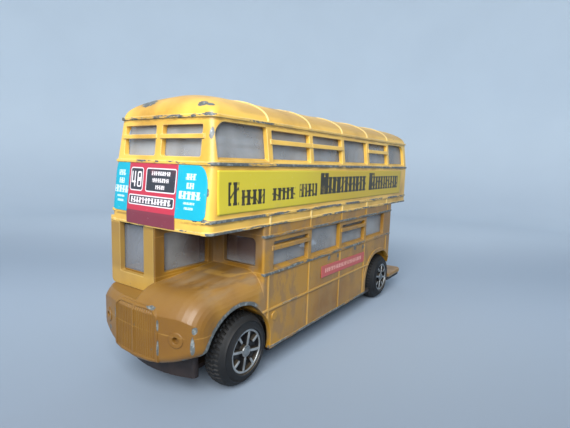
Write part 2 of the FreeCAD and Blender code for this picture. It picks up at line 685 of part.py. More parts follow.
def nose_section(y, grow):
    """The bonnet and nose in side view at a distance from the centre line, grown outwards by grow."""
    side = half + grow
    inner = side - d.shoulder_width
    lift = math.sqrt(max(0.0, 1 - (max(0.0, abs(y) - inner) / d.shoulder_width) ** 2))
    into_corner = max(0.0, abs(y) - side + d.nose_corner)
    corner = d.nose_corner - math.sqrt(d.nose_corner ** 2 - into_corner ** 2)
    front = at(d.nose_front) + grow - d.nose_bow * (y / half) ** 2 - corner
    bottom = d.nose_low - grow + d.nose_rise * (y / half) ** 2

    def lifted(low, high):
        return low + (high - low) * lift

    def p(x, z):
        return Vector(x, y, z)

    top_rear = p(at(d.bulkhead_front) - d.wall, lifted(d.shoulder_level, d.bonnet_rear_level + grow))
    fall = p(front - lifted(d.nose_side_fall, d.nose_fall), lifted(d.shoulder_level, d.bonnet_front_level + grow))
    brow = p(front, lifted(d.nose_side_brow_level, d.nose_brow_level))
    chin = p(front, bottom + d.nose_chin)
    under = p(front - d.nose_chin, bottom)
    low = p(top_rear.x, d.body_low)

    def swollen(start, end, rise):
        along = (end - start).normalize()
        return (start + end) / 2 + Vector(-along.z, 0, along.x) * rise

    knee = swollen(fall, brow, lifted(d.nose_bulge / 2, d.nose_bulge))
    roll = swollen(chin, under, d.nose_chin * (1 - HALF_TURN_SHARE))
    return Part.Wire([
        Part.makeLine(low, top_rear), Part.makeLine(top_rear, fall), Part.Arc(fall, knee, brow).toShape(),
        Part.makeLine(brow, chin), Part.Arc(chin, roll, under).toShape(), Part.makeLine(under, low)])


def nose(grow):
    """Bonnet and nose as a ruled loft of side-view sections from the offside to the nearside."""
    side = half + grow
    shares = [-share for share in reversed(NOSE_STATION_SHARES[1:])] + list(NOSE_STATION_SHARES)
    return Part.makeLoft([nose_section(share * side, grow) for share in shares], True, True)


def grille_relief():
    """Rounded frame, centre bar and fine slats that follow the nose."""
    x0 = at(d.bulkhead_front)

    def panel(inset):
        corners = [0.0, 0.0, d.grille_corner - inset, d.grille_corner - inset]
        return lengthways(inset - d.grille_half, d.grille_half - inset, d.grille_low + inset,
                          d.grille_high - inset, x0, FAR, corners)

    bar = box(x0, FAR, -d.grille_frame / 2, d.grille_frame / 2, d.grille_low, d.grille_high)
    frame = panel(0).cut(panel(d.grille_frame)).fuse(bar)
    step = 2 * d.grille_half / (GRILLE_SLATS + 1)
    slats = [box(x0, FAR, y - d.slat_width / 2, y + d.slat_width / 2, d.grille_low, d.grille_high)
             for y in (step * (k - (GRILLE_SLATS - 1) / 2) for k in range(GRILLE_SLATS))]
    fine = Part.makeCompound(slats).common(panel(d.grille_frame / 2))
    return [nose(d.grille_proud).common(frame), nose(d.slat_proud).common(fine)]


def wheel_well(station, level, radius, side):
    """Space for one wheel and the arch round it."""
    y0 = d.well_side if side > 0 else -d.well_side - FAR
    return Part.makeCylinder(radius, FAR, Vector(at(station), y0, level), Vector(0, 1, 0))


def rear_arch(grow, low, y0, y1):
    """The rear wheel arch on the nearside, or with grow the arch and its lip: round shoulders, upright below."""
    back, front = d.saloon_rear, d.rear_arch_front + grow
    radii = [0.0, 0.0, d.rear_arch_corner + grow, d.rear_arch_corner + grow]
    return across(at(back), at(front), low, d.rear_arch_high + grow, y0, y1, radii)


def lower_bays():
    """The four bays of the saloon, from the front."""
    reach = d.lower_pillar / 2
    rears = [pillar(k) + reach for k in (1, 2, 3)] + [d.lower_rearmost]
    fronts = [d.lower_foremost] + [pillar(k) - reach for k in (1, 2, 3)]
    return list(zip(rears, fronts))


def lower_windows():
    """Openings of the saloon, the bulkhead, the cab door and the cab's nearside wall."""
    side = half + d.overrun
    small = [d.window_corner] * 4
    cutters = window_cutters(lower_bays(), d.lower_sill, d.lower_head, (d.lower_bar_low, d.lower_bar_high),
                             BARRED_BAYS_LOWER, d.barred_head)
    behind, ahead = at(d.bulkhead_front) - d.wall - d.overrun, at(d.bulkhead_front) + d.overrun
    cutters.append(lengthways(d.bulkhead_window_off, d.bulkhead_window_near, d.bulkhead_sill, d.lower_head,
                              behind, ahead, [small[0], small[0], d.tab_corner, small[0]]))
    cutters.append(lengthways(-d.screen_off, -d.screen_near, d.bulkhead_sill, d.lower_head, behind, ahead, small))
    cutters.append(across(at(d.cab_window_rear), at(d.cab_front) - d.overrun, d.cab_sill, d.cab_head, -side,
                          -half + d.wall + d.overrun, small))
    cutters.append(across(at(d.cab_window_rear), at(d.cab_window_front), d.cab_sill, d.cab_head,
                          -d.wall - d.overrun, d.overrun, small))
    return Part.makeCompound(cutters)


def lower_body_shape():
    """Lower casting: saloon walls, bulkhead, cab, bonnet, nose, platform and their relief."""
    height = d.split_level - d.body_low

    def plan(grow, front, back):
        return Part.Face(outline(d.body_low, half + grow, front, back, 0, d.saloon_corner, d.rear_corner))

    front_face = at(d.bulkhead_front)
    saloon = plan(0, front_face, at(0)).extrude(Vector(0, 0, height))
    hollow = plan(-d.wall, front_face - d.wall, at(d.wall)).extrude(Vector(0, 0, height + d.overrun))
    hollow.translate(Vector(0, 0, -d.overrun / 2))
    core = nose(-d.nose_wall)
    bonnet = nose(0).cut(core).cut(core.translated(Vector(0, 0, -d.nose_wall - d.overrun)))
    tab_front = at(d.skirt_front - d.front_bow)
    cab = box(front_face - d.wall / 2, at(d.cab_front), -half, 0, d.cab_floor - d.nose_wall, d.split_level)
    flank = box(front_face - d.wall / 2, at(d.cab_front), -half, d.wall - half, d.shoulder_level, d.split_level)
    lip = box(at(d.cab_front) - d.wall, tab_front, -d.cab_lip, 0, d.cab_floor - d.nose_wall, d.split_level)
    cab_room = box(front_face, at(d.cab_front), d.wall - half, -d.wall, d.cab_floor, d.split_level + d.overrun)
    step = across(at(0), at(d.platform_front), d.platform_top - d.platform_thick, d.platform_top,
                  -half + d.wall / 2, half, [0.0] * 4)
    step = step.common(outline_prism())
    relief = []
    for number, (back, front) in enumerate(lower_bays()):
        if number in BARRED_BAYS_LOWER:
            bar = box(at(back) - d.bar_lap, at(front) + d.bar_lap, -half - d.bar_proud, half + d.bar_proud,
                      d.lower_bar_low, d.lower_bar_high)
            relief.append(bar)
    for level, tall, proud, behind in ((d.waist_level, d.bead_height, d.bead_proud, d.bead_proud),
                                       (d.mid_level, d.rib_width, d.rib_proud, 0.0),
                                       (d.drip_level, d.bead_height, d.gutter_proud, 0.0),
                                       (d.body_low + d.bead_height / 2, d.bead_height, d.rib_proud, 0.0)):
        flat = plan(proud, front_face, at(0) - behind)
        flat.translate(Vector(0, 0, level - tall / 2 - d.body_low))
        relief.append(flat.extrude(Vector(0, 0, tall)))
    for station in [pillar(k) for k in range(4)] + [d.rear_strip_station]:
        x = at(station)
        for side in (-1, 1):
            y0, y1 = sorted((side * (half - d.wall / 2), side * (half + d.rib_proud)))
            relief.append(box(x - d.rib_width / 2, x + d.rib_width / 2, y0, y1, d.body_low, d.waist_level))
            relief.append(box(x - d.rib_width / 2, x + d.rib_width / 2, y0, y1, d.drip_level, d.split_level))
    relief.append(rear_arch(d.arch_lip, d.body_low, half - d.wall / 2, half + d.bead_proud))
    plate = lengthways(-d.screen_off, -d.screen_near, d.mid_level, d.mid_level + 2 * d.rivet_head,
                       at(0) - d.rear_plate_proud, at(d.wall / 2), [d.window_corner] * 4)
    relief.append(plate)
    cap = Part.makeCylinder(d.cap_radius, d.wall / 2 + d.bead_proud,
                            Vector(at(d.cap_station), half - d.wall / 2, d.cap_level), Vector(0, 1, 0))
    relief.append(cap)
    solid = fused([saloon] + relief).cut(hollow)
    opening = Part.Face(Part.makePolygon([Vector(at(x), d.platform_side, z) for x, z in (
        (-d.overrun, d.platform_top), (d.saloon_rear, d.platform_top), (d.saloon_rear, d.drip_level),
        (d.saloon_rear - d.rear_corner, d.drip_level), (d.wall, d.split_level),
        (-d.overrun, d.split_level + d.overrun), (-d.overrun, d.platform_top))]))
    solid = solid.cut(opening.extrude(Vector(0, FAR, 0)))
    rear_edge = Vector(at(d.saloon_rear), half, 0)
    reach = d.saloon_rear_corner
    square = box(rear_edge.x - d.overrun, rear_edge.x + reach, half - reach, half + d.overrun, 0, d.split_level)
    kept = Part.makeCylinder(reach, d.split_level, rear_edge + Vector(reach, -reach, 0))
    solid = solid.cut(square.cut(kept))
    solid = solid.cut(box(-FAR, at(d.saloon_rear), d.platform_side, FAR, d.body_low - d.overrun,
                          d.platform_top))
    partition = box(at(d.saloon_rear), at(d.saloon_rear) + d.wall, -half + d.wall / 2, half - d.wall / 2,
                    d.platform_top, d.split_level)
    doorway = box(-FAR, FAR, -d.base_waist_half, d.base_waist_half, 0, d.lower_head)
    shelf = nose(0).common(box(at(d.cab_front) - d.nose_wall, FAR, -half, d.wall, d.tab_low - 2 * d.nose_wall,
                               d.bonnet_rear_level))
    parts = [solid, partition.cut(doorway), bonnet, cab, flank, lip, shelf, step] + grille_relief()
    for side in (-1, 1):
        x = at(d.nose_front) - d.nose_bow
        ring = Part.makeCylinder(d.lamp_radius, FAR, Vector(x - d.nose_wall, side * d.lamp_side, d.lamp_level),
                                 Vector(1, 0, 0))
        parts.append(nose(d.lamp_proud).common(ring))
    body = parts[0].multiFuse(parts[1:])
    ledge = box(at(d.cab_front), FAR, -half - d.overrun, d.fit_gap - d.tab_near, d.tab_low - d.fit_gap,
                d.split_level + d.overrun)
    cutters = [cab_room, ledge, lower_windows()]
    for side in (-1, 1):
        y0, y1 = sorted((side * half, side * (half + d.overrun)))
        cutters.append(box(at(d.strip_rear), at(d.strip_front), y0, y1, d.strip_low, d.strip_high))
        cutters.append(wheel_well(d.front_arch_station, d.front_arch_level, d.front_arch_radius, side))
        cutters.append(wheel_well(d.front_axle_station, d.tyre_radius, d.tyre_room, side))
        cutters.append(wheel_well(d.rear_axle_station, d.tyre_radius, d.tyre_room, side))
        x = at(d.nose_front) - d.nose_bow - d.nose_wall / 2
        foot = Vector(x + d.nose_bow / 2, side * d.lamp_side, d.lamp_level)
        cutters.append(Part.makeCylinder(d.lamp_bore, FAR, foot, Vector(1, 0, 0)))
    arch = rear_arch(0, d.body_low - d.overrun, d.well_side, FAR)
    cutters += [arch, mirrored(arch)]
    for cutter in cutters:
        body = body.cut(cutter)
    return max(body.Solids, key=lambda solid: solid.Volume)


def outline_prism():
    """The lower deck's full plan as a tall prism, used to trim the platform."""
    wire = outline(0, half, at(d.skirt_front), at(0), d.front_bow, d.front_corner, d.rear_corner)
    return Part.Face(wire).extrude(Vector(0, 0, d.split_level))


def wheel(label, station, side):
    """One black wheel: tyre with stepped sidewall and tread, dish, ribs and bored hub; side is 1 or -1."""
    face, back = d.wheel_face, d.wheel_face - d.wheel_width
    shoulder = face - d.shoulder_drop
    bore, hub_foot = d.axle_radius + d.bore_gap, d.hub_radius + d.wall
    dish = face - d.dish_depth
    land = face - d.trim_recess - d.trim_thick
    seat = d.ring_radius + d.fit_gap
    hollow = back + d.wheel_back_depth
    section = [(bore, back), (hub_foot, back), (hub_foot, hollow), (d.bead_radius, hollow), (d.bead_radius, back),
               (d.sidewall_radius, back), (d.tyre_radius, back + d.wall), (d.tyre_radius, shoulder),
               (d.sidewall_radius, (shoulder + face) / 2), (d.bead_radius + d.wall / 2, face - d.trim_recess),
               (d.bead_radius, face), (seat, face), (seat, land), (d.ring_inner, land), (d.ring_inner, dish),
               (d.hub_radius, dish), (d.hub_radius, land), (bore, land)]
    body = empty_body(label, at(station), 0, d.tyre_radius)
    revolved(body, sketch(body, label + "_section", [section], side))
    spokes(body, label + "_rib", (d.hub_radius - d.fit_gap, d.short_spoke_start), (dish - d.fit_gap, land),
           d.spoke_width - 2 * d.fit_gap, side)
    middle = (back + shoulder) / 2
    bottom, outside = d.tyre_radius - d.tread_depth, d.tyre_radius + d.overrun
    grooves = [rectangle(bottom, outside, back - d.overrun, middle - d.tread_gap),
               rectangle(bottom, outside, middle + d.tread_gap, shoulder + d.wall / 2)]
    groove = slab(body, "Pocket", sketch(body, label + "_groove", grooves, side), d.tread_gap)
    repeated(body, groove, TREAD_GROOVES)
    return body


def spokes(body, label, starts, levels, width, side):
    """Four long spokes and a short one between each pair; starts are the inner ends of the long and the short."""
    for name, start, turn in (("_long", starts[0], FIRST_SPOKE), ("_short", starts[1], FIRST_SPOKE + 45.0)):
        spoke = sketch(body, label + name, [rectangle(start, d.ring_inner + d.fit_gap, *levels)], side, turn)
        repeated(body, slab(body, "Pad", spoke, width), 4)


def trim(label, station, side):
    """Silver trim of a wheel: a flat ring with eight spokes and a hub washer, one foil piece."""
    front = d.wheel_face - d.trim_recess
    back = front - d.trim_thick
    body = empty_body(label, at(station), 0, d.tyre_radius)
    revolved(body, sketch(body, label + "_ring", [rectangle(d.ring_inner, d.ring_radius, back, front)], side))
    spokes(body, label + "_spoke", (d.hub_radius - 2 * d.fit_gap, d.short_spoke_start - d.fit_gap), (back, front),
           d.spoke_width, side)
    washer = rectangle(d.axle_radius + d.bore_gap, d.hub_radius, back, front)
    body.Tip = revolved(body, sketch(body, label + "_washer", [washer], side))
    return body


def axle(label, station):
    """Steel axle with a domed head at each end."""
    reach = d.wheel_face - d.trim_recess + d.end_float
    tip = reach + d.dome_height
    dome = (d.dome_radius * d.dome_radius + d.dome_height * d.dome_height) / (2 * d.dome_height)
    section = [(0, -tip), (d.dome_radius, -reach), (d.axle_radius, -reach), (d.axle_radius, reach),
               (d.dome_radius, reach), (0, tip)]
    body = empty_body(label, at(station), 0, d.tyre_radius)
    revolved(body, sketch(body, label + "_section", [section], curves={0: dome, 4: dome}))
    return body


def mirrored(shape):
    """The offside copy of a nearside shape."""
    return shape.mirror(Vector(0, 0, 0), Vector(0, 1, 0))


def apron():
    """The tall front of the baseplate, its front edge bowed as one arc."""
    wide, corner = d.apron_half, d.apron_corner
    back, front = at(d.front_axle_station + d.tyre_radius + d.tyre_gap), at(d.base_front)
    edge = front - d.apron_bow
    bow = ((wide - corner) * (wide - corner) + d.apron_bow * d.apron_bow) / (2 * d.apron_bow)
    plan = [(back + corner, -wide), (edge - corner, -wide), (edge, corner - wide), (edge, wide - corner),
            (edge - corner, wide), (back + corner, wide), (back, wide - corner), (back, corner - wide)]
    body = empty_body("base_apron", 0, 0, d.base_low)
    curves = {1: corner, 2: bow, 3: corner, 5: corner, 7: corner}
    standing(body, sketch(body, "apron_plan", [plan], curves=curves), d.apron_high - d.base_low)
    return body


def baseplate():
    """Black baseplate: a tray waisted between the wheels, an apron under the nose and four axle bearings."""
    low, top, wide = d.base_low, d.body_low, d.base_half
    reach = d.tyre_radius + d.tyre_gap
    outer = d.wheel_face - d.wheel_width - d.end_float
    spine_front = at(d.base_front - d.apron_bow)
    pieces = [
        block("base_spine", at(d.wall), spine_front, -d.base_waist_half, d.base_waist_half, low, top),
        block("base_tail", at(d.wall), at(d.rear_axle_station - reach), -wide, wide, low, top),
        block("base_middle", at(d.rear_axle_station + reach), at(d.front_axle_station - reach), -wide, wide, low, top),
        apron()]
    room = rivet_pair("rivet_room", d.bore_gap)
    for end, station in AXLES:
        room.append(drum(end + "_axle_bore", d.axle_radius + d.bore_gap, -half, half, station))
        for name, side in SIDES:
            y0, y1 = sorted((side * outer, side * (outer - d.bearing_width)))
            pieces.append(block(end + "_bearing_" + name, at(station) - d.bearing_length / 2,
                                at(station) + d.bearing_length / 2, y0, y1, low, d.bearing_high))
    return difference("baseplate", union("base_solid", pieces), union("base_room", room))


def rivet_pair(label, grow):
    """Shanks and countersunk heads of both rivets, flush in the baseplate, or the room for them, grown by grow."""
    parts = []
    for end, station in (("_front", d.front_post_station), ("_rear", d.rear_post_station)):
        foot = (at(station), 0, d.base_low)
        parts.append(rod(label + "_shank" + end, d.rivet_radius + grow, d.body_low - d.base_low + d.rivet_depth, foot))
        parts.append(primitive("Cone", label + "_head" + end, {
            "Radius1": d.rivet_head + grow, "Radius2": d.rivet_head * HALF_TURN_SHARE + grow,
            "Height": d.rivet_sink + grow}, foot))
    return parts


def upper_glazing_shape():
    """Clear moulding behind the upper windows, a leaning ring."""
    clear = d.wall + d.fit_gap
    low, high = d.upper_glazing_low, d.upper_glazing_high
    return deck_walls(clear, low, high).cut(deck_walls(clear + d.glazing_thick, low - d.overrun, high + d.fit_gap))


def lower_glazing():
    """Clear moulding behind the saloon windows: two sides joined across the bulkhead, open to the rear."""
    side, inner = half - d.wall - d.fit_gap, half - d.wall - d.fit_gap - d.glazing_thick
    back, front = at(d.saloon_rear) + d.wall + d.fit_gap, at(d.bulkhead_front) - d.wall - d.fit_gap
    corner = d.front_corner
    plan = [(back, -side), (front - corner, -side), (front, corner - side), (front, side - corner),
            (front - corner, side), (back, side), (back, inner), (front - d.glazing_thick, inner),
            (front - d.glazing_thick, -inner), (back, -inner)]
    body = empty_body("lower_glazing", 0, 0, d.lower_glazing_low)
    outline_sketch = sketch(body, "lower_glazing_plan", [plan], curves={1: corner, 3: corner})
    standing(body, outline_sketch, d.lower_glazing_high - d.lower_glazing_low)
    return body


def cab_glazing():
    """Clear moulding of the cab: offside pane, windscreen, and a nearside pane joined along the bulkhead."""
    low, high = d.cab_floor, d.lower_glazing_high
    thick = d.glazing_thick
    back, front = at(d.bulkhead_front) + d.fit_gap, at(d.cab_front)
    off, near = -half + d.wall + d.fit_gap, -d.wall - d.fit_gap
    return union("cab_glazing", [
        block("cab_pane_rear", back, back + thick, off, near, low, high),
        block("cab_pane_off", back, front, off, off + thick, low, high),
        block("cab_pane_front", front - thick, front, off, near, low, high),
        block("cab_pane_near", back, front, near - thick, near, low, high)])


def benches(deck, count, first_station, floor):
    """Rows of double benches on each side of a gangway."""
    rows = []
    for k in range(count):
        x = at(first_station + k * d.seat_pitch)
        for name, side in SIDES:
            label = "%s_bench_%d_%s" % (deck, k + 1, name)
            y0, y1 = sorted((side * d.seat_outer, side * (d.seat_outer - d.seat_half)))
            rows.append(block(label, x, x + d.seat_depth + d.back_thick, y0, y1, floor, floor + d.seat_height))
            rows.append(block(label + "_back", x, x + d.back_thick, y0, y1, floor, floor + d.back_height))
    return rows


def upper_seats():
    """Upper-deck floor with its benches, resting on the cross beams."""
    low = d.beam_high
    floor = add_feature("upper_floor", deck_walls(d.wall + d.fit_gap, low, low + d.floor_thick))
    return union("upper_deck_seats", [floor] + benches("upper", UPPER_BENCHES, d.seat_pitch, low + d.floor_thick))


def lower_seats():
    """Saloon floor with its benches, on two ribs that stand on the baseplate."""
    low, high = d.lower_floor, d.lower_floor + d.floor_thick
    side = half - d.wall - d.fit_gap
    ahead = at(d.rear_axle_station + d.tyre_radius + d.tyre_gap + d.overrun)
    front = at(d.front_post_station - d.post_radius) - d.wall
    back = at(d.saloon_rear) + d.wall + d.fit_gap
    parts = [block("lower_floor_wide", ahead, front, -side, side, low, high),
             block("lower_floor_narrow", back, ahead, -d.base_waist_half, d.base_waist_half, low, high)]
    for end, station in (("rear", d.rear_post_station + d.seat_pitch), ("front", d.front_post_station - d.seat_pitch)):
        parts.append(block("lower_floor_rib_" + end, at(station), at(station) + d.wall, -d.apron_half, d.apron_half,
                           d.body_low, low))
    parts += benches("lower", LOWER_BENCHES, d.rear_post_station + d.beam_width, high)
    post_room = rod("lower_floor_post_room", d.post_radius + d.fit_gap, d.split_level, (at(d.rear_post_station), 0, 0))
    return difference("lower_deck_seats", union("lower_floor_solid", parts), post_room)


def staircase():
    """Solid flight of steps at the offside of the platform, rising to the rear."""
    run = (d.stair_front - d.stair_rear) / STAIR_STEPS
    rise = (d.split_level - d.platform_top) / STAIR_STEPS
    off = -half + d.wall + d.fit_gap
    low = d.platform_top
    return union("staircase", [
        block("stair_step_%d" % (k + 1), at(d.stair_front - (k + 1) * run), at(d.stair_front - k * run), off,
              -d.stair_near, low, low + (k + 1) * rise) for k in range(STAIR_STEPS)])


def driver_seat():
    """Driver's seat on the cab floor."""
    x, low = at(d.driver_seat_station), d.cab_floor
    off, near = -d.screen_off, -d.screen_near
    return union("driver_seat", [
        block("driver_cushion", x, x + d.seat_depth, off, near, low, low + d.seat_height),
        block("driver_back", x, x + d.back_thick, off, near, low, low + d.back_height)])


def steering_wheel_shape():
    """Steering wheel on its column, its three spokes running into the middle of the rim's wire."""
    top = Vector(at(d.column_station), -d.column_side, d.column_high)
    foot = Vector(top.x, top.y, d.cab_floor)
    parts = [Part.makeTorus(d.wheel_rim, d.rim_wire, top), Part.makeCylinder(d.rim_wire, top.z - foot.z, foot)]
    for k in range(3):
        spoke = Part.makeCylinder(d.rim_wire * HALF_TURN_SHARE, d.wheel_rim, top, Vector(1, 0, 0))
        spoke.rotate(top, Vector(0, 0, 1), 120.0 * k)
        parts.append(spoke)
    return parts[0].multiFuse(parts[1:])


def front_label_shape(y0, y1, low, high, radii):
    """A paper label that follows the upper casting's front wall."""
    skin = deck_walls(-d.label_thick, d.split_level, d.sill_bead_level).cut(
        deck_walls(0, d.split_level - d.overrun, d.sill_bead_level + d.overrun))
    patch = skin.common(lengthways(y0, y1, low, high, at(d.foremost_window), FAR, radii))
    return max(patch.Solids, key=lambda solid: solid.Volume)


def side_labels(name, side):
    """Side advertisement and fleet strip of one side."""
    y0, y1 = sorted((side * half, side * (half + d.label_thick)))
    return [block("side_advert_" + name, at(d.advert_rear), at(d.advert_front), y0, y1, d.advert_low, d.advert_high),
            block("fleet_strip_" + name, at(d.strip_rear), at(d.strip_front), y0, y1, d.strip_low, d.strip_high)]


corner = d.poster_corner
nodes = [
    add_feature("upper_body", upper_body_shape()),
    add_feature("lower_body", lower_body_shape()),
    baseplate(),
    union("base_rivets", rivet_pair("rivet", 0)),
    add_feature("upper_glazing", upper_glazing_shape()),
    lower_glazing(),
    cab_glazing(),
    upper_seats(),
    lower_seats(),
    staircase(),
    driver_seat(),
    add_feature("steering_wheel", steering_wheel_shape()),
    add_feature("front_route_panel", front_label_shape(
        -d.panel_off, d.panel_near, d.panel_low, d.poster_high, [0.0, 0.0, 0.0, 0.0])),
    add_feature("front_poster_near", front_label_shape(
        d.panel_near, d.poster_end, d.poster_low, d.poster_high, [0.0, corner, corner, 0.0])),
    add_feature("front_poster_off", front_label_shape(
        -d.poster_end, -d.panel_off, d.poster_low, d.poster_high, [corner, 0.0, 0.0, corner])),
    block("rear_label", at(-d.label_thick), at(0), -d.rear_label_half, d.rear_label_half,
          d.poster_low + d.bead_height, d.poster_high - d.bead_height),
]
for end, station in AXLES:
    nodes.append(axle(end + "_axle", station))
    for name, side in SIDES:
        nodes.append(wheel("%s_wheel_%s" % (end, name), station, side))
        nodes.append(trim("%s_trim_%s" % (end, name), station, side))
for name, side in SIDES:
    nodes += side_labels(name, side)

doc.recompute()
for thing in doc.Objects:
    if "Invalid" in thing.State or "Error" in thing.State:
        raise RuntimeError("failed object: " + thing.Label)
os.makedirs("parts", exist_ok=True)
for node in nodes:
    if node.Shape.isNull() or not node.Shape.isValid():
        raise RuntimeError("bad shape: " + node.Label)
    print(node.Label, node.TypeId, "solids", len(node.Shape.Solids), "volume", round(node.Shape.Volume, 2))
    node.Shape.exportStep(os.path.join("parts", node.Label + ".step"))
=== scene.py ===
import json
import math
import bmesh
import bpy
import numpy as np
from mathutils import Matrix, Vector

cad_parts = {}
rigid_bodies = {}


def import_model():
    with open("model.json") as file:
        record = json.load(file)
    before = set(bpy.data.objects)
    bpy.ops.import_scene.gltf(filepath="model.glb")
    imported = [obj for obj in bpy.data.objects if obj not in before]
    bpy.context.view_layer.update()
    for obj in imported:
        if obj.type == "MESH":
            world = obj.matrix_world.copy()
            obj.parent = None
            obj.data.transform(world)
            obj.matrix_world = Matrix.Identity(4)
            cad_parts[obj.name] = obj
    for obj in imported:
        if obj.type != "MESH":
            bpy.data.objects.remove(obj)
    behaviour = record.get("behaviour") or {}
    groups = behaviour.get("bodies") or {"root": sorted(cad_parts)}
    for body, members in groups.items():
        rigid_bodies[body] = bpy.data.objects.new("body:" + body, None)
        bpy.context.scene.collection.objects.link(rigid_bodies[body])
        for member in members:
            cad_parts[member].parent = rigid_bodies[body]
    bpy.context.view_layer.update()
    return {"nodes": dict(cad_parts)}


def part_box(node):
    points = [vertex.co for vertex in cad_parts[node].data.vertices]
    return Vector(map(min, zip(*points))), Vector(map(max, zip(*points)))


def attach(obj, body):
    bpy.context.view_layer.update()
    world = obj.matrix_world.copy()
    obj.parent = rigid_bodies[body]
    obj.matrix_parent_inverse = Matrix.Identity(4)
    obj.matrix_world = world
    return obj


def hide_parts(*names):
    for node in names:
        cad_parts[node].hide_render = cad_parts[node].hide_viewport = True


# Looks of a die-cast toy double-decker bus, worn and dusty. Sizes in this script are in millimetres,
# in the part's own frame: +X forward, +Y to the nearside, +Z up, origin on the ground.

for left_over in list(bpy.data.objects):
    bpy.data.objects.remove(left_over)

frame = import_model()
nodes = frame["nodes"]

MM = 0.001
HALF_WIDTH = 16.0
PILLARS = [35.0 - 18.35 * k for k in range(5)]
AXLES = {"front": 42.6, "rear": -37.1}
AXLE_HIGH = 8.4
PAPER = 0.12
SILL_BEAD = 50.2
SKIRT_BEAD = 38.85
SHARP_TURN = 35.0
SIDES = {1: "near", -1: "off"}


# Surfaces

def quads(rows, columns, ring=False, tube=False, first=0):
    """Corner numbers of the faces between a grid's points; ring joins the last row to the first, tube the
    last column to the first."""
    i, j = np.meshgrid(np.arange(rows if ring else rows - 1), np.arange(columns if tube else columns - 1),
                       indexing="ij")
    i, j = i.ravel(), j.ravel()
    ahead, beside = (i + 1) % rows, (j + 1) % columns
    return first + np.stack([i * columns + j, ahead * columns + j, ahead * columns + beside,
                             i * columns + beside], 1)


class Shell:
    """Grids of points gathered into one mesh."""

    def __init__(self):
        self.points, self.faces, self.kinds, self.count = [], [], [], 0

    def add(self, grid, ring=False, tube=False, kind=0):
        """Takes a grid of points, rows by columns by three."""
        rows, columns = grid.shape[:2]
        faces = quads(rows, columns, ring, tube, self.count)
        self.points.append(grid.reshape(-1, 3))
        self.faces.append(faces)
        self.kinds.append(np.full(len(faces), kind))
        self.count += rows * columns

    def piece(self, name, finishes, body, replaced):
        """Makes the mesh object, merged where grids close on themselves, and hangs it on its body."""
        mesh = bpy.data.meshes.new(name)
        points, faces = np.concatenate(self.points), np.concatenate(self.faces)
        mesh.from_pydata((points * MM).tolist(), [], faces.tolist())
        for finish in finishes:
            mesh.materials.append(finish)
        mesh.polygons.foreach_set("material_index", np.concatenate(self.kinds).astype(np.int32))
        made = bpy.data.objects.new(name, mesh)
        bpy.context.scene.collection.objects.link(made)
        tidy_mesh(mesh)
        mesh.polygons.foreach_set("use_smooth", np.ones(len(mesh.polygons), bool))
        mesh.set_sharp_from_angle(angle=math.radians(SHARP_TURN))
        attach(made, body)
        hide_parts(*replaced)
        return made


def tidy_mesh(mesh):
    """Merges doubles and turns every face outwards."""
    work = bmesh.new()
    work.from_mesh(mesh)
    bmesh.ops.remove_doubles(work, verts=work.verts, dist=2e-6)
    bmesh.ops.dissolve_degenerate(work, edges=work.edges, dist=1e-7)
    bmesh.ops.recalc_face_normals(work, faces=work.faces)
    work.to_mesh(mesh)
    work.free()


def signed_power(value, power):
    """A value's size raised to a power, with its sign kept."""
    return np.sign(value) * np.abs(value) ** power


def pillow(centre, reach, squareness=0.25, turn=0.0, rows=10, columns=20):
    """A rounded block: a superellipsoid, whose cosines and sines are raised to a low power, turned
    about Y."""
    up, round_ = np.meshgrid(np.linspace(-math.pi / 2, math.pi / 2, rows),
                             np.linspace(0, 2 * math.pi, columns), indexing="ij")
    e = squareness
    x = reach[0] * signed_power(np.cos(up), e) * signed_power(np.cos(round_), e)
    z = reach[2] * signed_power(np.cos(up), e) * signed_power(np.sin(round_), e)
    y = reach[1] * signed_power(np.sin(up), e)
    c, s = math.cos(turn), math.sin(turn)
    return np.stack([centre[0] + c * x - s * z, centre[1] + y, centre[2] + s * x + c * z], -1)


# Shader arithmetic

class Wire:
    """A socket of a finish that is added, multiplied and compared like a number."""

    def __init__(self, finish, socket):
        self.finish, self.socket = finish, socket

    def _sum(self, operation, first, second=0.0):
        return self.finish.node("ShaderNodeMath", {"operation": operation}, {0: first, 1: second})

    def __add__(self, other):
        return self._sum("ADD", self, other)

    def __radd__(self, other):
        return self._sum("ADD", other, self)

    def __sub__(self, other):
        return self._sum("SUBTRACT", self, other)

    def __rsub__(self, other):
        return self._sum("SUBTRACT", other, self)

    def __mul__(self, other):
        return self._sum("MULTIPLY", self, other)

    def __rmul__(self, other):
        return self._sum("MULTIPLY", other, self)

    def __truediv__(self, other):
        return self._sum("DIVIDE", self, other)

    def __pow__(self, other):
        return self._sum("POWER", self, other)

    def size(self):
        return self._sum("ABSOLUTE", self)

    def least(self, other):
        return self._sum("MINIMUM", self, other)

    def most(self, other):
        return self._sum("MAXIMUM", self, other)


def shade(red, green, blue):
    """A screen colour, 0 to 255, as the linear numbers that a shader takes."""
    return tuple(((c / 255 + 0.055) / 1.055) ** 2.4 if c > 10 else c / 3295
                 for c in (red, green, blue)) + (1.0,)


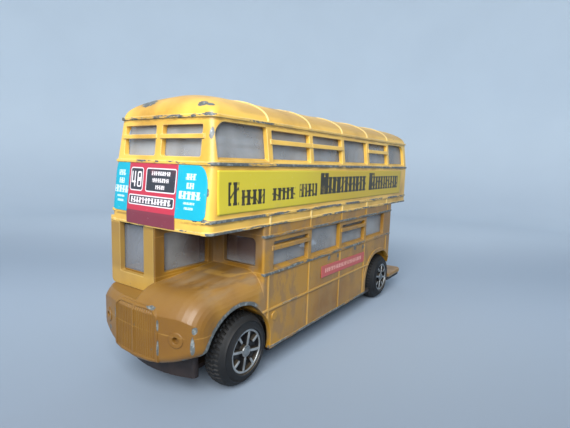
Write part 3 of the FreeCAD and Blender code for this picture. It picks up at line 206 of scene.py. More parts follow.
class Finish:
    """One material, written as expressions. Places are Object coordinates in millimetres."""

    def __init__(self, name):
        self.material = bpy.data.materials.new(name)
        self.material.use_nodes = True
        self.tree = self.material.node_tree
        self.tree.nodes.clear()
        coordinates = self.node("ShaderNodeTexCoord", out="Object")
        self.place = self.vector("SCALE", coordinates, Scale=1 / MM)
        self.x, self.y, self.z = (self.node("ShaderNodeSeparateXYZ", {}, {0: self.place}, out=k)
                                  for k in range(3))

    def node(self, kind, settings=None, values=None, out=0):
        """Adds a node: its settings first, then the values or links of its sockets, by name or number."""
        made = self.tree.nodes.new(kind)
        for key, setting in (settings or {}).items():
            setattr(made, key, setting)
        for key, value in (values or {}).items():
            if isinstance(value, Wire):
                self.tree.links.new(value.socket, made.inputs[key])
            else:
                made.inputs[key].default_value = value
        return Wire(self, made.outputs[out])

    def vector(self, operation, first, second=None, **named):
        """Vector arithmetic on one or two values, and on sockets given by name."""
        values = {0: first}
        if second is not None:
            values[1] = second
        values.update(named)
        out = "Value" if operation in ("LENGTH", "DISTANCE", "DOT_PRODUCT") else "Vector"
        return self.node("ShaderNodeVectorMath", {"operation": operation}, values, out=out)

    def noise(self, size, detail=2.0, roughness=0.5, stretch=(1, 1, 1), shift=0.0):
        """Cloudy noise whose features are about size millimetres across, longer where stretch is above 1."""
        across = tuple(1 / (size * s) for s in stretch)
        where = self.vector("MULTIPLY_ADD", self.place, across)
        where.socket.node.inputs[2].default_value = (shift, shift * 0.7, shift * 1.3)
        return self.node("ShaderNodeTexNoise", {}, {"Vector": where, "Scale": 1.0, "Detail": detail,
                                                    "Roughness": roughness}, out="Fac")

    def specks(self, size, shift=0.0):
        """Distance to the nearest of scattered points, about size millimetres apart."""
        where = self.vector("MULTIPLY_ADD", self.place, (1 / size,) * 3)
        where.socket.node.inputs[2].default_value = (shift,) * 3
        return self.node("ShaderNodeTexVoronoi", {}, {"Vector": where, "Scale": 1.0}, out="Distance")

    def fade(self, value, low, high):
        """0 at low, 1 at high and a smooth rise between, or a fall where low is the larger."""
        if low < high:
            return self.node("ShaderNodeMapRange", {"interpolation_type": "SMOOTHSTEP"},
                             {"Value": value, "From Min": low, "From Max": high})
        return self.node("ShaderNodeMapRange", {"interpolation_type": "SMOOTHSTEP"},
                         {"Value": value, "From Min": high, "From Max": low, "To Min": 1.0, "To Max": 0.0})

    def near(self, value, middle, reach, soft):
        """1 within reach of the middle, falling to 0 over soft."""
        return self.fade((value - middle).size(), reach + soft, reach)

    def tint(self, base, over, mask):
        """One colour laid over another."""
        mixed = self.node("ShaderNodeMix", {"data_type": "RGBA"}, None, out=2)
        sockets = mixed.socket.node.inputs
        for socket, value in ((sockets[0], mask), (sockets[6], base), (sockets[7], over)):
            if isinstance(value, Wire):
                self.tree.links.new(value.socket, socket)
            else:
                socket.default_value = value
        return mixed

    def upward(self):
        """How far the surface faces up: the third part of its direction."""
        normal = self.node("ShaderNodeNewGeometry", out="Normal")
        return self.node("ShaderNodeSeparateXYZ", {}, {0: normal}, out=2)

    def blots(self, places, ragged):
        """Ragged spots: how far inside the nearest ellipsoid a point is, roughened by a noise."""
        depth = None
        for centre, reach in places:
            inside = self.vector("SUBTRACT", self.place, centre)
            inside = self.vector("DIVIDE", inside, reach)
            away = self.vector("LENGTH", inside)
            depth = away if depth is None else depth.least(away)
        return self.fade(depth + (ragged - 0.5) * 1.1, 1.0, 0.86)

    def either(self, masks):
        """The largest of several masks."""
        whole = masks[0]
        for mask in masks[1:]:
            whole = whole.most(mask)
        return whole

    def edge(self, radius):
        """How sharply the surface turns within a radius: 0 on the flat, towards 1 on an edge."""
        soft = self.node("ShaderNodeBevel", {"samples": 6}, {"Radius": radius * MM})
        true = self.node("ShaderNodeNewGeometry", out="True Normal")
        return self.fade(self.vector("DOT_PRODUCT", soft, true), 0.995, 0.9)

    def relief(self, height, bevel=0.0):
        """A bump of that height in millimetres, over edges softened by a small bevel."""
        values = {"Height": height, "Distance": MM, "Strength": 1.0}
        if bevel:
            values["Normal"] = self.node("ShaderNodeBevel", {"samples": 4}, {"Radius": bevel * MM})
        return self.node("ShaderNodeBump", {}, values)

    def surface(self, **sockets):
        """The finished shader."""
        names = {key.replace("_", " "): value for key, value in sockets.items()}
        shader = self.node("ShaderNodeBsdfPrincipled", {}, names)
        self.tree.links.new(shader.socket, self.tree.nodes.new("ShaderNodeOutputMaterial").inputs["Surface"])
        return self.material


# Finishes

ZINC = shade(104, 108, 106)
ZINC_BRIGHT = shade(164, 170, 168)
# A dark brown for dirt, used also as painted shade on the bulkhead under the canopy and under the beads.
GRIME_AND_SHADE = shade(72, 41, 8)
DUST = shade(150, 130, 98)


def bead_wear(f, beads, forward, streaky, away):
    """For each bead, masks of its bare metal, of its pale crest, rubbed paint and painted highlight, and of
    the dark line below it, dirt and painted shade. A bead is a level, a reach and how bare its sides and its
    front are, and the front begins at forward."""
    beside = f.fade(f.y.size(), 15.0, 15.5)
    worn, crest, dirt_and_shade_masks = [], [], []
    for level, reach, sides, front in beads:
        wear = beside * (sides - front) + front
        line = f.near(f.z, level, reach, 0.1) * beside.most(f.fade(f.x, forward, forward + 0.4))
        worn.append(line * f.fade(streaky + away * 0.6 + wear * 0.4, 1.0, 1.05))
        # The crest of each bead is painted pale: rubbed paint and a painted highlight.
        crest.append(f.near(f.z, level + reach, 0.06, 0.12))
        # The dark line under each bead: dirt, and painted shade below the bead.
        dirt_and_shade_masks.append(f.near(f.z, level - reach - 0.3, 0.1, 0.3) * f.fade(streaky, 0.35, 0.6) * 0.5)
    return worn, crest, dirt_and_shade_masks


def darkened_nose_and_bulkhead_shade(f):
    """The nose and the windscreen frame darkened, and painted shade on the bulkhead under the canopy."""
    nose = f.fade(f.x, 50.0, 54.0) * f.fade(f.z, 36.4, 35.6)
    # Painted shade on the bulkhead, where the canopy shades it.
    bulkhead = f.fade(f.x, 32.6, 33.6) * f.fade(f.x, 47.0, 40.0) * f.fade(f.y, -7.0, -4.0)
    bulkhead = bulkhead * f.fade(f.y, 15.7, 15.2) * f.fade(f.z, 24.0, 27.0) * f.fade(f.z, 37.2, 36.6)
    return (nose * (f.fade(f.z, 24.0, 26.0) * 0.16 + 0.48)).most(bulkhead * 0.55)


def enamel(name, fresh, deep, pale, beads, chips, forward, lines, edges, dusty, turns):
    """Worn stoved paint over zinc. Lines is a mask of relief painted pale, edges one of relief rubbed bare,
    dusty a film of dust, and turns how pale every sharp edge is painted; that pale paint is partly rubbed
    paint and partly a painted highlight. Bare metal comes in streaks on the beads, in chips and in nicks, and
    the paint's colour drifts in clouds."""
    f = Finish(name)
    cloud = f.noise(22.0, 3.0, 0.6)
    fine = f.noise(1.1, 3.0, 0.6)
    streaky = f.noise(1.5, 4.0, 0.68, stretch=(4.0, 2.0, 0.5), shift=3.1)
    ragged = f.noise(0.8, 3.0, 0.6, shift=7.7)
    away = f.noise(11.0, 2.0, 0.5, shift=11.0)
    nz = f.upward()
    worn, crest, dirt_and_shade_masks = bead_wear(f, beads, forward, streaky, away)
    worn += [f.blots(chips, ragged), edges(f, streaky, ragged)]
    worn.append(f.fade(f.specks(3.6, 0.4) + ragged * 0.25, 0.17, 0.14) * f.fade(away, 0.52, 0.6))
    bare = f.either(worn)
    # Dirt in clouds, the darkened nose and windscreen frame, and painted shade on the bulkhead, all in the
    # dark brown.
    dirt_and_shade_masks += [f.fade(cloud + fine * 0.25, 0.6, 0.95) * 0.25, darkened_nose_and_bulkhead_shade(f)]
    dirt_and_shade_amount = f.either(dirt_and_shade_masks)
    # Sharp edges painted pale: partly rubbed paint, partly a painted highlight.
    turn = f.edge(0.35) * turns * f.fade(f.x, 57.6, 57.0)
    film = (f.fade(nz, 0.3, 1.0) * 0.1).most(dusty(f, cloud, streaky, nz))
    paint = f.tint(fresh, deep, f.fade(cloud, 0.35, 0.7).most(f.fade(film, 0.1, 0.4)))
    paint = f.tint(paint, GRIME_AND_SHADE, dirt_and_shade_amount)
    paint = f.tint(paint, DUST, film)
    # Pale paint on ribs, strips, bead crests and sharp edges: rubbed paint and painted highlight.
    rubbed = (lines(f) * 0.75).most(f.either(crest) * 0.5 * f.fade(streaky, 0.4, 0.55)).most(turn)
    paint = f.tint(paint, pale, rubbed * (1.0 - dirt_and_shade_amount))
    metal = f.tint(ZINC, ZINC_BRIGHT, f.fade(ragged, 0.45, 0.75))
    colour = f.tint(paint, metal, bare)
    height = fine * 0.01 - bare * 0.05 + film * streaky * 0.02
    return f.surface(Base_Color=colour, Roughness=0.36 + film * 0.5 + bare * 0.12 + dirt_and_shade_amount * 0.2,
                     Metallic=bare * 0.4, Coat_Weight=0.2 * (1.0 - bare) * (1.0 - film),
                     Coat_Roughness=0.2, Normal=f.relief(height, 0.3))


def pillar_lines(f, stations):
    """The upright strips and roof ribs that stand over the pillars."""
    return f.either([f.near(f.x, station, 0.22, 0.1) for station in stations])


def upper_lines(f):
    """Roof ribs, and the strips under the side advertisement."""
    return pillar_lines(f, PILLARS) * f.fade(f.z, 59.9, 60.2).most(f.fade(f.z, 38.6, 38.4))


def lower_lines(f):
    """The panel strips of the lower sides and the line half way up them."""
    sides = f.fade(f.y.size(), 15.7, 15.9) * f.fade(f.x, 37.4, 37.0)
    upright = pillar_lines(f, PILLARS[:4] + [-39.9])
    upright = upright * f.fade(f.z, 25.0, 24.6).most(f.fade(f.z, 33.9, 34.1))
    return upright.most(f.near(f.z, 15.8, 0.22, 0.1) * f.fade(f.x, 37.4, 37.0)) * sides * 0.8


def upper_edges(f, streaky, ragged):
    """The roof ribs rubbed bare along parts of their crowns."""
    ribs = pillar_lines(f, PILLARS) * f.fade(f.z, 61.0, 62.0)
    return ribs * f.fade(streaky, 0.56, 0.64) * 0.7


def lower_edges(f, streaky, ragged):
    """Bare lip of the front wheel arches, from the front over the top."""
    dx, dz = f.x - 45.0, f.z - 9.0
    from_arch = (dx * dx + dz * dz) ** 0.5
    lip = f.fade(from_arch + (ragged - 0.5) * 0.9, 11.35, 11.1) * f.fade(f.y.size(), 14.4, 15.0)
    return lip * f.fade(dx + ragged * 3.0, -6.4, -3.4) * f.fade(from_arch, 9.6, 10.0)


def upper_dust_and_roof_shade(f, cloud, streaky, nz):
    """Brown dirt on the skirt below the side advertisement, and a film of dust along the roof's sides that
    also stands for painted shade there.
    """
    skirt = f.fade(f.z, 39.6, 38.0) * (f.fade(cloud + streaky * 0.3, 0.4, 0.9) * 0.2 + 0.05)
    # Dust on the roof's sides, laid on heavily enough to paint shade there as well.
    roof = f.fade(f.z, 60.0, 61.6) * f.fade(f.y.size(), 7.0, 13.0) * f.fade(f.x, 50.0, 42.0)
    return skirt.most(roof * 0.3)


def lower_dust(f, cloud, streaky, nz):
    """A wiped film on the bonnet and a thinner one on the side panels."""
    bonnet = f.fade(f.x, 36.0, 38.5) * f.fade(f.x, 57.0, 51.0) * f.fade(f.z, 27.0, 24.4)
    bonnet = bonnet * f.fade(nz, 0.05, 0.55)
    wiped = f.noise(6.0, 3.0, 0.6, stretch=(3.2, 0.7, 1.0), shift=5.0)
    panels = f.fade(f.noise(6.0, 4.0, 0.65, stretch=(0.8, 1.0, 1.6), shift=1.7), 0.4, 0.62) * 0.4
    return (bonnet * (f.fade(wiped, 0.36, 0.64) * 0.5 + 0.12)).most(panels * f.fade(f.x, 40.0, 37.0))


UPPER_BEADS = [(59.55, 0.28, 0.8, 0.5), (SILL_BEAD, 0.28, 0.9, 0.45), (SKIRT_BEAD, 0.26, 0.7, 0.2),
               (36.45, 0.26, 0.6, 0.25)]
LOWER_BEADS = [(33.7, 0.26, 0.8, 0.2), (24.7, 0.26, 0.6, 0.0), (15.8, 0.18, 0.12, 0.0),
               (6.05, 0.3, 0.75, 0.0)]

# Spots where the paint has gone: the centre and the half sizes of each.
UPPER_CHIPS = [
    ((50.8, -6.4, 62.9), (1.9, 2.6, 1.2)), ((51.8, 11.0, 62.1), (1.2, 1.3, 0.8)),
    ((51.3, 12.8, 61.9), (0.8, 0.8, 0.5)), ((52.7, 13.8, 59.8), (1.3, 1.9, 0.4)),
    ((52.7, 14.5, 56.2), (0.8, 0.45, 1.3)), ((54.4, 15.0, 44.6), (0.6, 0.4, 0.9)),
    ((55.1, 14.8, 39.1), (0.8, 0.8, 0.35)), ((55.3, 12.4, 38.9), (0.6, 0.9, 0.25)),
    ((53.6, 6.2, 59.4), (0.4, 0.8, 0.22)), ((53.4, 10.0, 59.5), (0.4, 0.9, 0.3)),
    ((52.9, -13.4, 59.6), (0.6, 1.0, 0.4)), ((54.5, 0.2, 50.3), (0.4, 0.7, 0.2)),
    ((28.0, 15.9, 59.6), (5.0, 0.6, 0.35)), ((37.5, 15.7, 59.5), (6.0, 0.8, 0.3)),
]
LOWER_CHIPS = [
    ((59.8, 4.9, 20.9), (0.7, 1.4, 0.5)), ((59.8, 7.1, 17.6), (0.5, 0.22, 1.3)),
    ((59.8, 7.1, 12.9), (0.5, 0.24, 1.8)), ((60.2, -6.9, 17.2), (0.5, 0.2, 1.4)),
    ((60.2, -4.6, 20.9), (0.5, 1.1, 0.2)), ((57.3, 14.9, 17.6), (0.8, 0.5, 0.8)),
    ((57.5, 14.6, 14.4), (0.8, 0.4, 2.0)), ((57.7, 12.6, 11.0), (0.7, 0.7, 0.4)),
    ((60.3, 0.2, 16.3), (0.3, 0.2, 0.7)), ((59.3, -10.4, 12.6), (0.6, 0.6, 0.6)),
    ((5.3, 16.1, 23.4), (0.9, 0.4, 0.8)), ((-0.4, 16.1, 23.0), (0.6, 0.4, 0.8)),
    ((-12.5, 16.1, 23.5), (1.0, 0.4, 0.7)), ((-19.0, 16.1, 23.0), (0.9, 0.4, 0.8)),
    ((36.4, 16.2, 24.6), (0.9, 0.4, 0.5)), ((23.0, 16.2, 24.9), (3.5, 0.4, 0.35)),
    ((17.0, 16.2, 24.8), (1.4, 0.4, 0.4)),
]

# Where each casting's beads begin to run across its front: the lower one has none there.
# The third colour of each casting is its pale paint, for rubbed paint and painted highlights.
UPPER_FRONT, NO_FRONT = 52.0, 99.0
upper_paint = enamel("upper_enamel", shade(238, 191, 82), shade(204, 156, 60), shade(248, 222, 150),
                     UPPER_BEADS, UPPER_CHIPS, UPPER_FRONT, upper_lines, upper_edges, upper_dust_and_roof_shade, 0.5)
lower_paint = enamel("lower_enamel", shade(168, 122, 32), shade(142, 98, 30), shade(206, 160, 78),
                     LOWER_BEADS, LOWER_CHIPS, NO_FRONT, lower_lines, lower_edges, lower_dust, 0.4)


def plain_finish(name, colour, other, roughness, dusty, metallic=0.0, grain=0.8):
    """A moulded or plated finish: cloudy colour, fine grain and dust on what faces up."""
    f = Finish(name)
    cloud = f.noise(3.0, 3.0, 0.6)
    fine = f.noise(grain, 3.0, 0.7, shift=2.0)
    film = f.fade(f.upward() + fine * 0.6, 0.4, 1.3) * dusty
    base = f.tint(colour, other, f.fade(cloud, 0.35, 0.7))
    return f.surface(Base_Color=f.tint(base, DUST, film), Roughness=roughness + film * 0.4 + fine * 0.1,
                     Metallic=metallic, Normal=f.relief(fine * 0.02))


base_black = plain_finish("base_black", shade(30, 24, 24), shade(44, 34, 32), 0.5, 0.15)
steel = plain_finish("steel", shade(178, 180, 178), shade(128, 130, 130), 0.28, 0.1, metallic=1.0)
seat_cream = plain_finish("seat_cream", shade(206, 200, 186), shade(188, 180, 164), 0.45, 0.4)
tyre_black = plain_finish("tyre_black", shade(12, 13, 15), shade(7, 8, 10), 0.62, 0.02, grain=0.4)
wheel_black = plain_finish("wheel_black", shade(20, 20, 22), shade(30, 30, 32), 0.3, 0.15)
trim_silver = plain_finish("trim_silver", shade(196, 198, 196), shade(150, 152, 152), 0.3, 0.1,
                           metallic=0.85)


def dusty_clear():
    """Old clear moulding: a cloudy grey film of dust over a see-through pane, with painted red-brown shade
    behind the bonnet under the canopy, and duller in the windscreen."""
    f = Finish("dusty_clear")
    cloud = f.noise(9.0, 2.0, 0.5)
    fine = f.noise(0.5, 2.0, 0.6, shift=4.0)
    film = f.fade(cloud + (fine - 0.5) * 0.1, 0.25, 0.8)
    colour = f.tint(shade(168, 170, 172), shade(186, 188, 188), film)
    # Painted shade: dark red-brown on the bulkhead glass under the canopy.
    brown = f.fade(f.x, 33.5, 34.5) * f.fade(f.z, 37.0, 36.0) * f.fade(f.z, 24.0, 30.0)
    canopy_shade_on_glass = brown * f.fade(f.x, 48.0, 42.0) * (0.6 + cloud * 0.4)
    colour = f.tint(colour, shade(84, 40, 24), canopy_shade_on_glass)
    windscreen = f.fade(f.x, 50.0, 52.0) * f.fade(f.z, 38.0, 37.0)
    colour = f.tint(colour, shade(122, 126, 134), windscreen * 0.8)
    return f.surface(Base_Color=colour, Roughness=0.22 + film * 0.3, Alpha=0.42 + film * 0.16,
                     IOR=1.45, Normal=f.relief(fine * 0.004 + cloud * 0.03))


clear = dusty_clear()

for name, node in nodes.items():
    if name == "upper_body":
        look = upper_paint
    elif name == "lower_body":
        look = lower_paint
    elif "glazing" in name:
        look = clear
    elif "axle" in name or "rivet" in name:
        look = steel
    elif "trim" in name:
        look = trim_silver
    elif name == "baseplate" or name == "steering_wheel":
        look = base_black
    elif "_wheel_" in name:
        look = wheel_black
    elif "seat" in name or name == "staircase":
        look = seat_cream
    else:
        continue
    for place in node.material_slots:
        place.material = look


# Labels

def front_wall(y, z):
    """Where the upper casting's front stands: an arc bowed forward, rounded off into the sides, that leans
    back in two straight steps of level, from the skirt to the sill and from the sill to the gutter."""
    skirt, sill, gutter, gutter_level = 55.5, 54.2, 53.2, 59.6
    risen = np.clip((z - SKIRT_BEAD) / (SILL_BEAD - SKIRT_BEAD), 0, 1)
    front = np.where(z < SILL_BEAD, skirt + (sill - skirt) * risen,
                     sill + (gutter - sill) * (z - SILL_BEAD) / (gutter_level - SILL_BEAD))
    flat, corner, bow = 14.2, 1.8, 0.6
    radius = (flat ** 2 + bow ** 2) / (2 * bow)
    inner = np.minimum(np.abs(y), flat)
    bowed = front - radius + np.sqrt(radius ** 2 - inner ** 2)
    past = np.clip(np.abs(y) - flat, 0, corner)
    return np.where(np.abs(y) > flat, bowed - corner + np.sqrt(corner ** 2 - past ** 2), bowed)


def front_label(y0, y1, z0, z1, corners, lift):
    """A sheet on the front wall. Its rows run across. Corners gives each end a share, and there a row stops
    at that share of the ellipse that rounds the sheet's upper corner or the circle that rounds its lower one.
    The sheet stands off the wall by the paper's thickness and a slow ripple."""
    wide, tall, small = 2.6, 4.2, 1.4
    v = z0 + (z1 - z0) * (0.5 - 0.5 * np.cos(np.linspace(0, math.pi, 64)))
    u = np.linspace(0, 1, 60)
    high = np.clip((v - z1 + tall) / tall, 0, 1)
    low = np.clip((z0 + small - v) / small, 0, 1)
    drawn_in = wide * (1 - np.sqrt(1 - high ** 2)) + small * (1 - np.sqrt(1 - low ** 2))
    left, right = y0 + drawn_in * corners[0], y1 - drawn_in * corners[1]
    y = left[:, None] + (right - left)[:, None] * u[None, :]
    z = np.repeat(v[:, None], len(u), 1)
    ripple = lift * (0.5 + 0.5 * np.sin(1.3 * y + 0.4 * z) * np.cos(0.9 * z - 0.3 * y))
    return np.stack([front_wall(y, z) + PAPER + ripple, y, z], -1)


def paper_piece(name, grid, finish, replaced, outward):
    """A sheet of paper: one grid that faces outwards, given its thickness behind it."""
    shell = Shell()
    shell.add(grid)
    made = shell.piece(name, [finish], "root", replaced)
    mesh = made.data
    facing = np.zeros(len(mesh.polygons) * 3)
    mesh.polygons.foreach_get("normal", facing)
    if facing.reshape(-1, 3).mean(0) @ outward < 0:
        mesh.flip_normals()
    wall = made.modifiers.new("thickness", "SOLIDIFY")
    wall.thickness, wall.offset = PAPER * MM, -1.0


def boxed(f, across, up, middle, reach, corner):
    """How far a point is outside a rounded rectangle on a label, less than 0 inside it."""
    a = ((across - middle[0]).size() - (reach[0] - corner)).most(0.0)
    b = ((up - middle[1]).size() - (reach[1] - corner)).most(0.0)
    return (a * a + b * b) ** 0.5 - corner


def ink(f, distance):
    """1 inside an outline and 0 outside it, with a narrow soft edge."""
    soft = 0.04
    return f.fade(distance, soft, -soft)


def printed_label(name, ground, prints, worn):
    """Printed paper: flat inks laid over a ground, rubbed and yellowed a little."""
    f = Finish(name)
    colour = ground
    for over, mask in prints(f):
        colour = f.tint(colour, over, mask)
    fine = f.noise(0.5, 3.0, 0.6)
    cloud = f.noise(5.0, 3.0, 0.6, shift=2.0)
    colour = f.tint(colour, worn, f.fade(cloud + fine * 0.3, 0.72, 1.0) * 0.5)
    scuffs = f.fade(f.noise(0.9, 4.0, 0.7, stretch=(1, 2.0, 0.7), shift=9.0), 0.66, 0.72)
    colour = f.tint(colour, shade(214, 208, 200), scuffs * 0.35)
    return f.surface(Base_Color=colour, Roughness=0.42 + cloud * 0.15, Coat_Weight=0.2,
                     Normal=f.relief(fine * 0.01 + cloud * 0.03))


SIGN_BLACK, INK_WHITE = shade(50, 52, 60), shade(228, 220, 222)


def strokes(f, along, up, middle, reach, pitch, share=0.5):
    """A row of upright strokes of uneven width, cut off by a rounded rectangle."""
    wobble = f.noise(pitch * 1.7, 1.0, 0.5, stretch=(1, 1, 60), shift=6.0)
    place = (along + wobble * pitch * 1.4) / pitch
    wave = f.node("ShaderNodeMath", {"operation": "PINGPONG"}, {0: place, 1: 1.0})
    feet = f.fade((up - middle[1]).size(), reach[1] * 0.72, reach[1] * 0.8)
    stems = f.fade(wave - feet * 0.22, share + 0.08, share - 0.08)
    roam = f.noise(pitch * 2.4, 1.0, 0.5, stretch=(1, 1, 60), shift=13.0) - 0.5
    joints = f.near(up, roam * (reach[1] * 3.2) + middle[1], reach[1] * 0.12, 0.08)
    return stems.most(joints * 0.9) * ink(f, boxed(f, along, up, middle, reach, 0.1))


def bar(f, middle, reach, corner=0.12):
    """A plain bar on the front."""
    return ink(f, boxed(f, f.y, f.z, middle, reach, corner))


def route_prints(f):
    """A dark strip at the foot, and three black signs with pale outlines: the route number 48, a panel with
    three rows of strokes, and a low one with a row of larger strokes."""
    prints = [(shade(120, 50, 64), f.fade(f.z, 39.6, 39.4))]
    number, listed, low = (-6.3, 46.3), (1.8, 46.3), (-1.15, 41.8)
    for middle, reach, corner in ((number, (2.37, 2.57), 0.7), (listed, (4.8, 2.57), 0.6),
                                  (low, (7.6, 1.12), 0.5)):
        outer = boxed(f, f.y, f.z, middle, reach, corner)
        prints.append((INK_WHITE, ink(f, outer)))
        prints.append((SIGN_BLACK, ink(f, outer + 0.24)))
    for z, half in ((47.75, 3.0), (46.3, 2.6), (44.85, 1.4)):
        prints.append((INK_WHITE, strokes(f, f.y, f.z, (listed[0], z), (half, 0.42), 0.34)))
    prints.append((INK_WHITE, strokes(f, f.y, f.z, low, (6.7, 0.62), 0.52)))
    four = f.either([bar(f, (-6.95, 46.3), (0.2, 1.7)), bar(f, (-7.4, 45.65), (0.78, 0.2)),
                     bar(f, (-7.95, 46.8), (0.2, 1.2))])
    ring = bar(f, (-5.3, 46.3), (0.78, 1.7), 0.45)
    holes = bar(f, (-5.3, 47.15), (0.38, 0.48), 0.2).most(bar(f, (-5.3, 45.4), (0.38, 0.5), 0.2))
    prints.append((INK_WHITE, four.most(ring * (1.0 - holes))))
    return prints


def poster_prints(middle):
    """Rows of pale strokes, one below the other. Each has a level, half a length, half a height and a
    pitch."""
    rows = [(47.5, 1.4, 0.62, 0.42), (45.7, 1.0, 0.6, 0.42), (43.8, 2.9, 0.78, 0.6), (42.2, 1.5, 0.22, 0.2),
            (41.2, 1.2, 0.24, 0.2)]

    def prints(f):
        return [(shade(206, 232, 238), strokes(f, f.y, f.z, (middle, z), (half, tall), pitch, 0.6))
                for z, half, tall, pitch in rows]
    return prints


route_print = printed_label("route_print", shade(184, 50, 70), route_prints, shade(158, 66, 80))
paper_piece("route_panel", front_label(-9.3, 6.9, 36.5, 49.8, (0, 0), 0.03), route_print,
            ["front_route_panel"], (1, 0, 0))
for end, y0, y1, middle, corners in (("near", 6.92, 14.95, 10.6, (0, 1)),
                                     ("off", -14.95, -9.32, -12.1, (0.35, 0))):
    poster_print = printed_label("poster_%s_print" % end, shade(8, 164, 188), poster_prints(middle),
                                 shade(70, 170, 190))
    paper_piece("poster_" + end, front_label(y0, y1, 39.0, 49.8, corners, 0.05), poster_print,
                ["front_poster_" + end], (1, 0, 0))


def advert_prints(f):
    """Black strokes in groups on a yellow ground: low ones over the front half, tall bold ones over the rear
    half, and a paler, greener ground behind the low ones. Each group has its two ends, its foot and its
    head, a pitch and the share of it that is black."""
    prints = [(shade(212, 196, 48), f.fade(f.x, 2.0, 26.0) * 0.8)]
    groups = ((49.5, 46.2, 41.8, 46.6, 1.0, 0.6), (45.4, 37.4, 41.6, 44.9, 0.95, 0.56),
              (34.6, 25.0, 42.0, 44.9, 0.9, 0.54), (23.0, 14.2, 42.2, 45.6, 0.85, 0.54),
              (12.4, -18.0, 42.4, 47.2, 1.3, 0.68), (12.4, 8.0, 42.4, 48.3, 1.6, 0.7),
              (-20.6, -48.6, 42.4, 47.0, 1.2, 0.68), (-20.6, -25.0, 42.4, 48.2, 1.5, 0.7))
    for start, end, low, high, pitch, share in groups:
        middle, reach = ((start + end) / 2, (low + high) / 2), ((start - end) / 2, (high - low) / 2)
        prints.append((shade(48, 44, 26), strokes(f, f.x, f.z, middle, reach, pitch, share)))
    return prints


def strip_prints(f):
    """One row of small pale strokes that climbs a little towards the front."""
    row = f.z - (f.x + 5.1) * 0.017
    return [(shade(222, 160, 146), strokes(f, f.x, row, (-4.9, 19.7), (12.6, 0.6), 0.55))]


def rear_prints(f):
    """Three plain dark bars."""
    return [(shade(46, 42, 26), ink(f, boxed(f, f.y, f.z, (0.0, z), (half, 0.5), 0.1)))
            for z, half in ((47.0, 4.6), (44.6, 5.4), (42.2, 3.6))]


def side_sheet(x0, x1, z0, z1, side, lift, askew=0.0):
    """A sheet on a side wall that ripples slowly, lifts a little at its lower front corner and, where it is
    askew, stands that much higher at its front than at its middle."""
    x, z = np.meshgrid(np.linspace(x0, x1, 160), np.linspace(z0, z1, 24), indexing="ij")
    ripple = 0.5 + 0.5 * np.sin(0.23 * x + 0.5 * z) * np.cos(0.6 * z)
    corner = np.exp(-((x - x1) ** 2 / 30.0 + (z - z0) ** 2 / 3.0))
    y = side * (HALF_WIDTH + PAPER + lift * ripple + 0.12 * corner)
    return np.stack([x, y, z + askew * (2 * x - x0 - x1) / (x1 - x0)], -1)


advert_print = printed_label("advert_print", shade(200, 170, 42), advert_prints, shade(196, 170, 80))
strip_print = printed_label("strip_print", shade(186, 84, 78), strip_prints, shade(186, 132, 84))
for side, end in SIDES.items():
    paper_piece("advert_" + end, side_sheet(-52.0, 52.6, 40.1, 49.0, side, 0.04), advert_print,
                ["side_advert_" + end], (0, side, 0))
    paper_piece("strip_" + end, side_sheet(-20.0, 9.8, 17.9, 21.3, side, 0.02, 0.25), strip_print,
                ["fleet_strip_" + end], (0, side, 0))

up, over = np.meshgrid(np.linspace(40.0, 49.1, 20), np.linspace(-7.0, 7.0, 30), indexing="ij")
rear_low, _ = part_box("rear_label")
rear_sheet = np.stack([np.full_like(up, rear_low.x / MM), over, up], -1)
rear_print = printed_label("rear_print", shade(222, 206, 58), rear_prints, shade(190, 172, 70))
paper_piece("rear_advert", rear_sheet, rear_print, ["rear_label"], (-1, 0, 0))


# Wheels

def tyre_profile():
    """Radius and side position round the section of tyre and wheel, from the bore at the back round the tread
    and the sidewall to the dish, and where the tread, the sidewall and the dish begin in that list."""
    back = 10.3
    behind = [(0.96, back), (2.55, back), (2.55, back + 1.6), (5.6, back + 1.6), (5.6, back), (7.0, back),
              (7.6, back + 0.25)]
    tread = [(8.4 - 0.35 * abs((y - 12.75) / 1.85) ** 3, y) for y in np.linspace(10.95, 14.6, 25)]
    sidewall = [(7.9, 14.85), (7.7, 15.1), (7.35, 15.45), (7.0, 15.75), (6.9, 15.95), (6.7, 15.98),
                (6.6, 15.86), (6.2, 16.02), (5.9, 16.14), (5.6, 16.25)]
    dish = [(5.42, 16.4), (5.2, 16.4), (5.15, 16.3), (5.15, 15.8), (4.55, 15.8), (4.5, 15.7),
            (4.48, 15.05), (4.4, 15.0), (1.45, 15.0), (1.4, 15.05), (1.35, 15.75), (1.3, 15.8),
            (0.96, 15.8)]
    first, last = len(behind), len(behind + tread)
    return np.array(behind + tread + sidewall + dish), first, last, last + len(sidewall)


def tread_depth(angle, y):
    """How far the tread is cut in: two grooves round the tyre, and slanting grooves across it whose phase
    changes from one rib to the next."""
    rib = np.digitize(y, [12.0, 13.5])
    phase = 44 * angle / (2 * math.pi) + 0.5 * (rib % 2) + 0.3 * (y - 12.75)
    across = np.abs(phase - np.round(phase))
    lateral = np.clip((0.2 - across) / 0.08, 0, 1) * 0.34
    round_ = np.clip((0.16 - np.minimum(np.abs(y - 12.0), np.abs(y - 13.5))) / 0.08, 0, 1) * 0.3
    return np.maximum(lateral, round_)


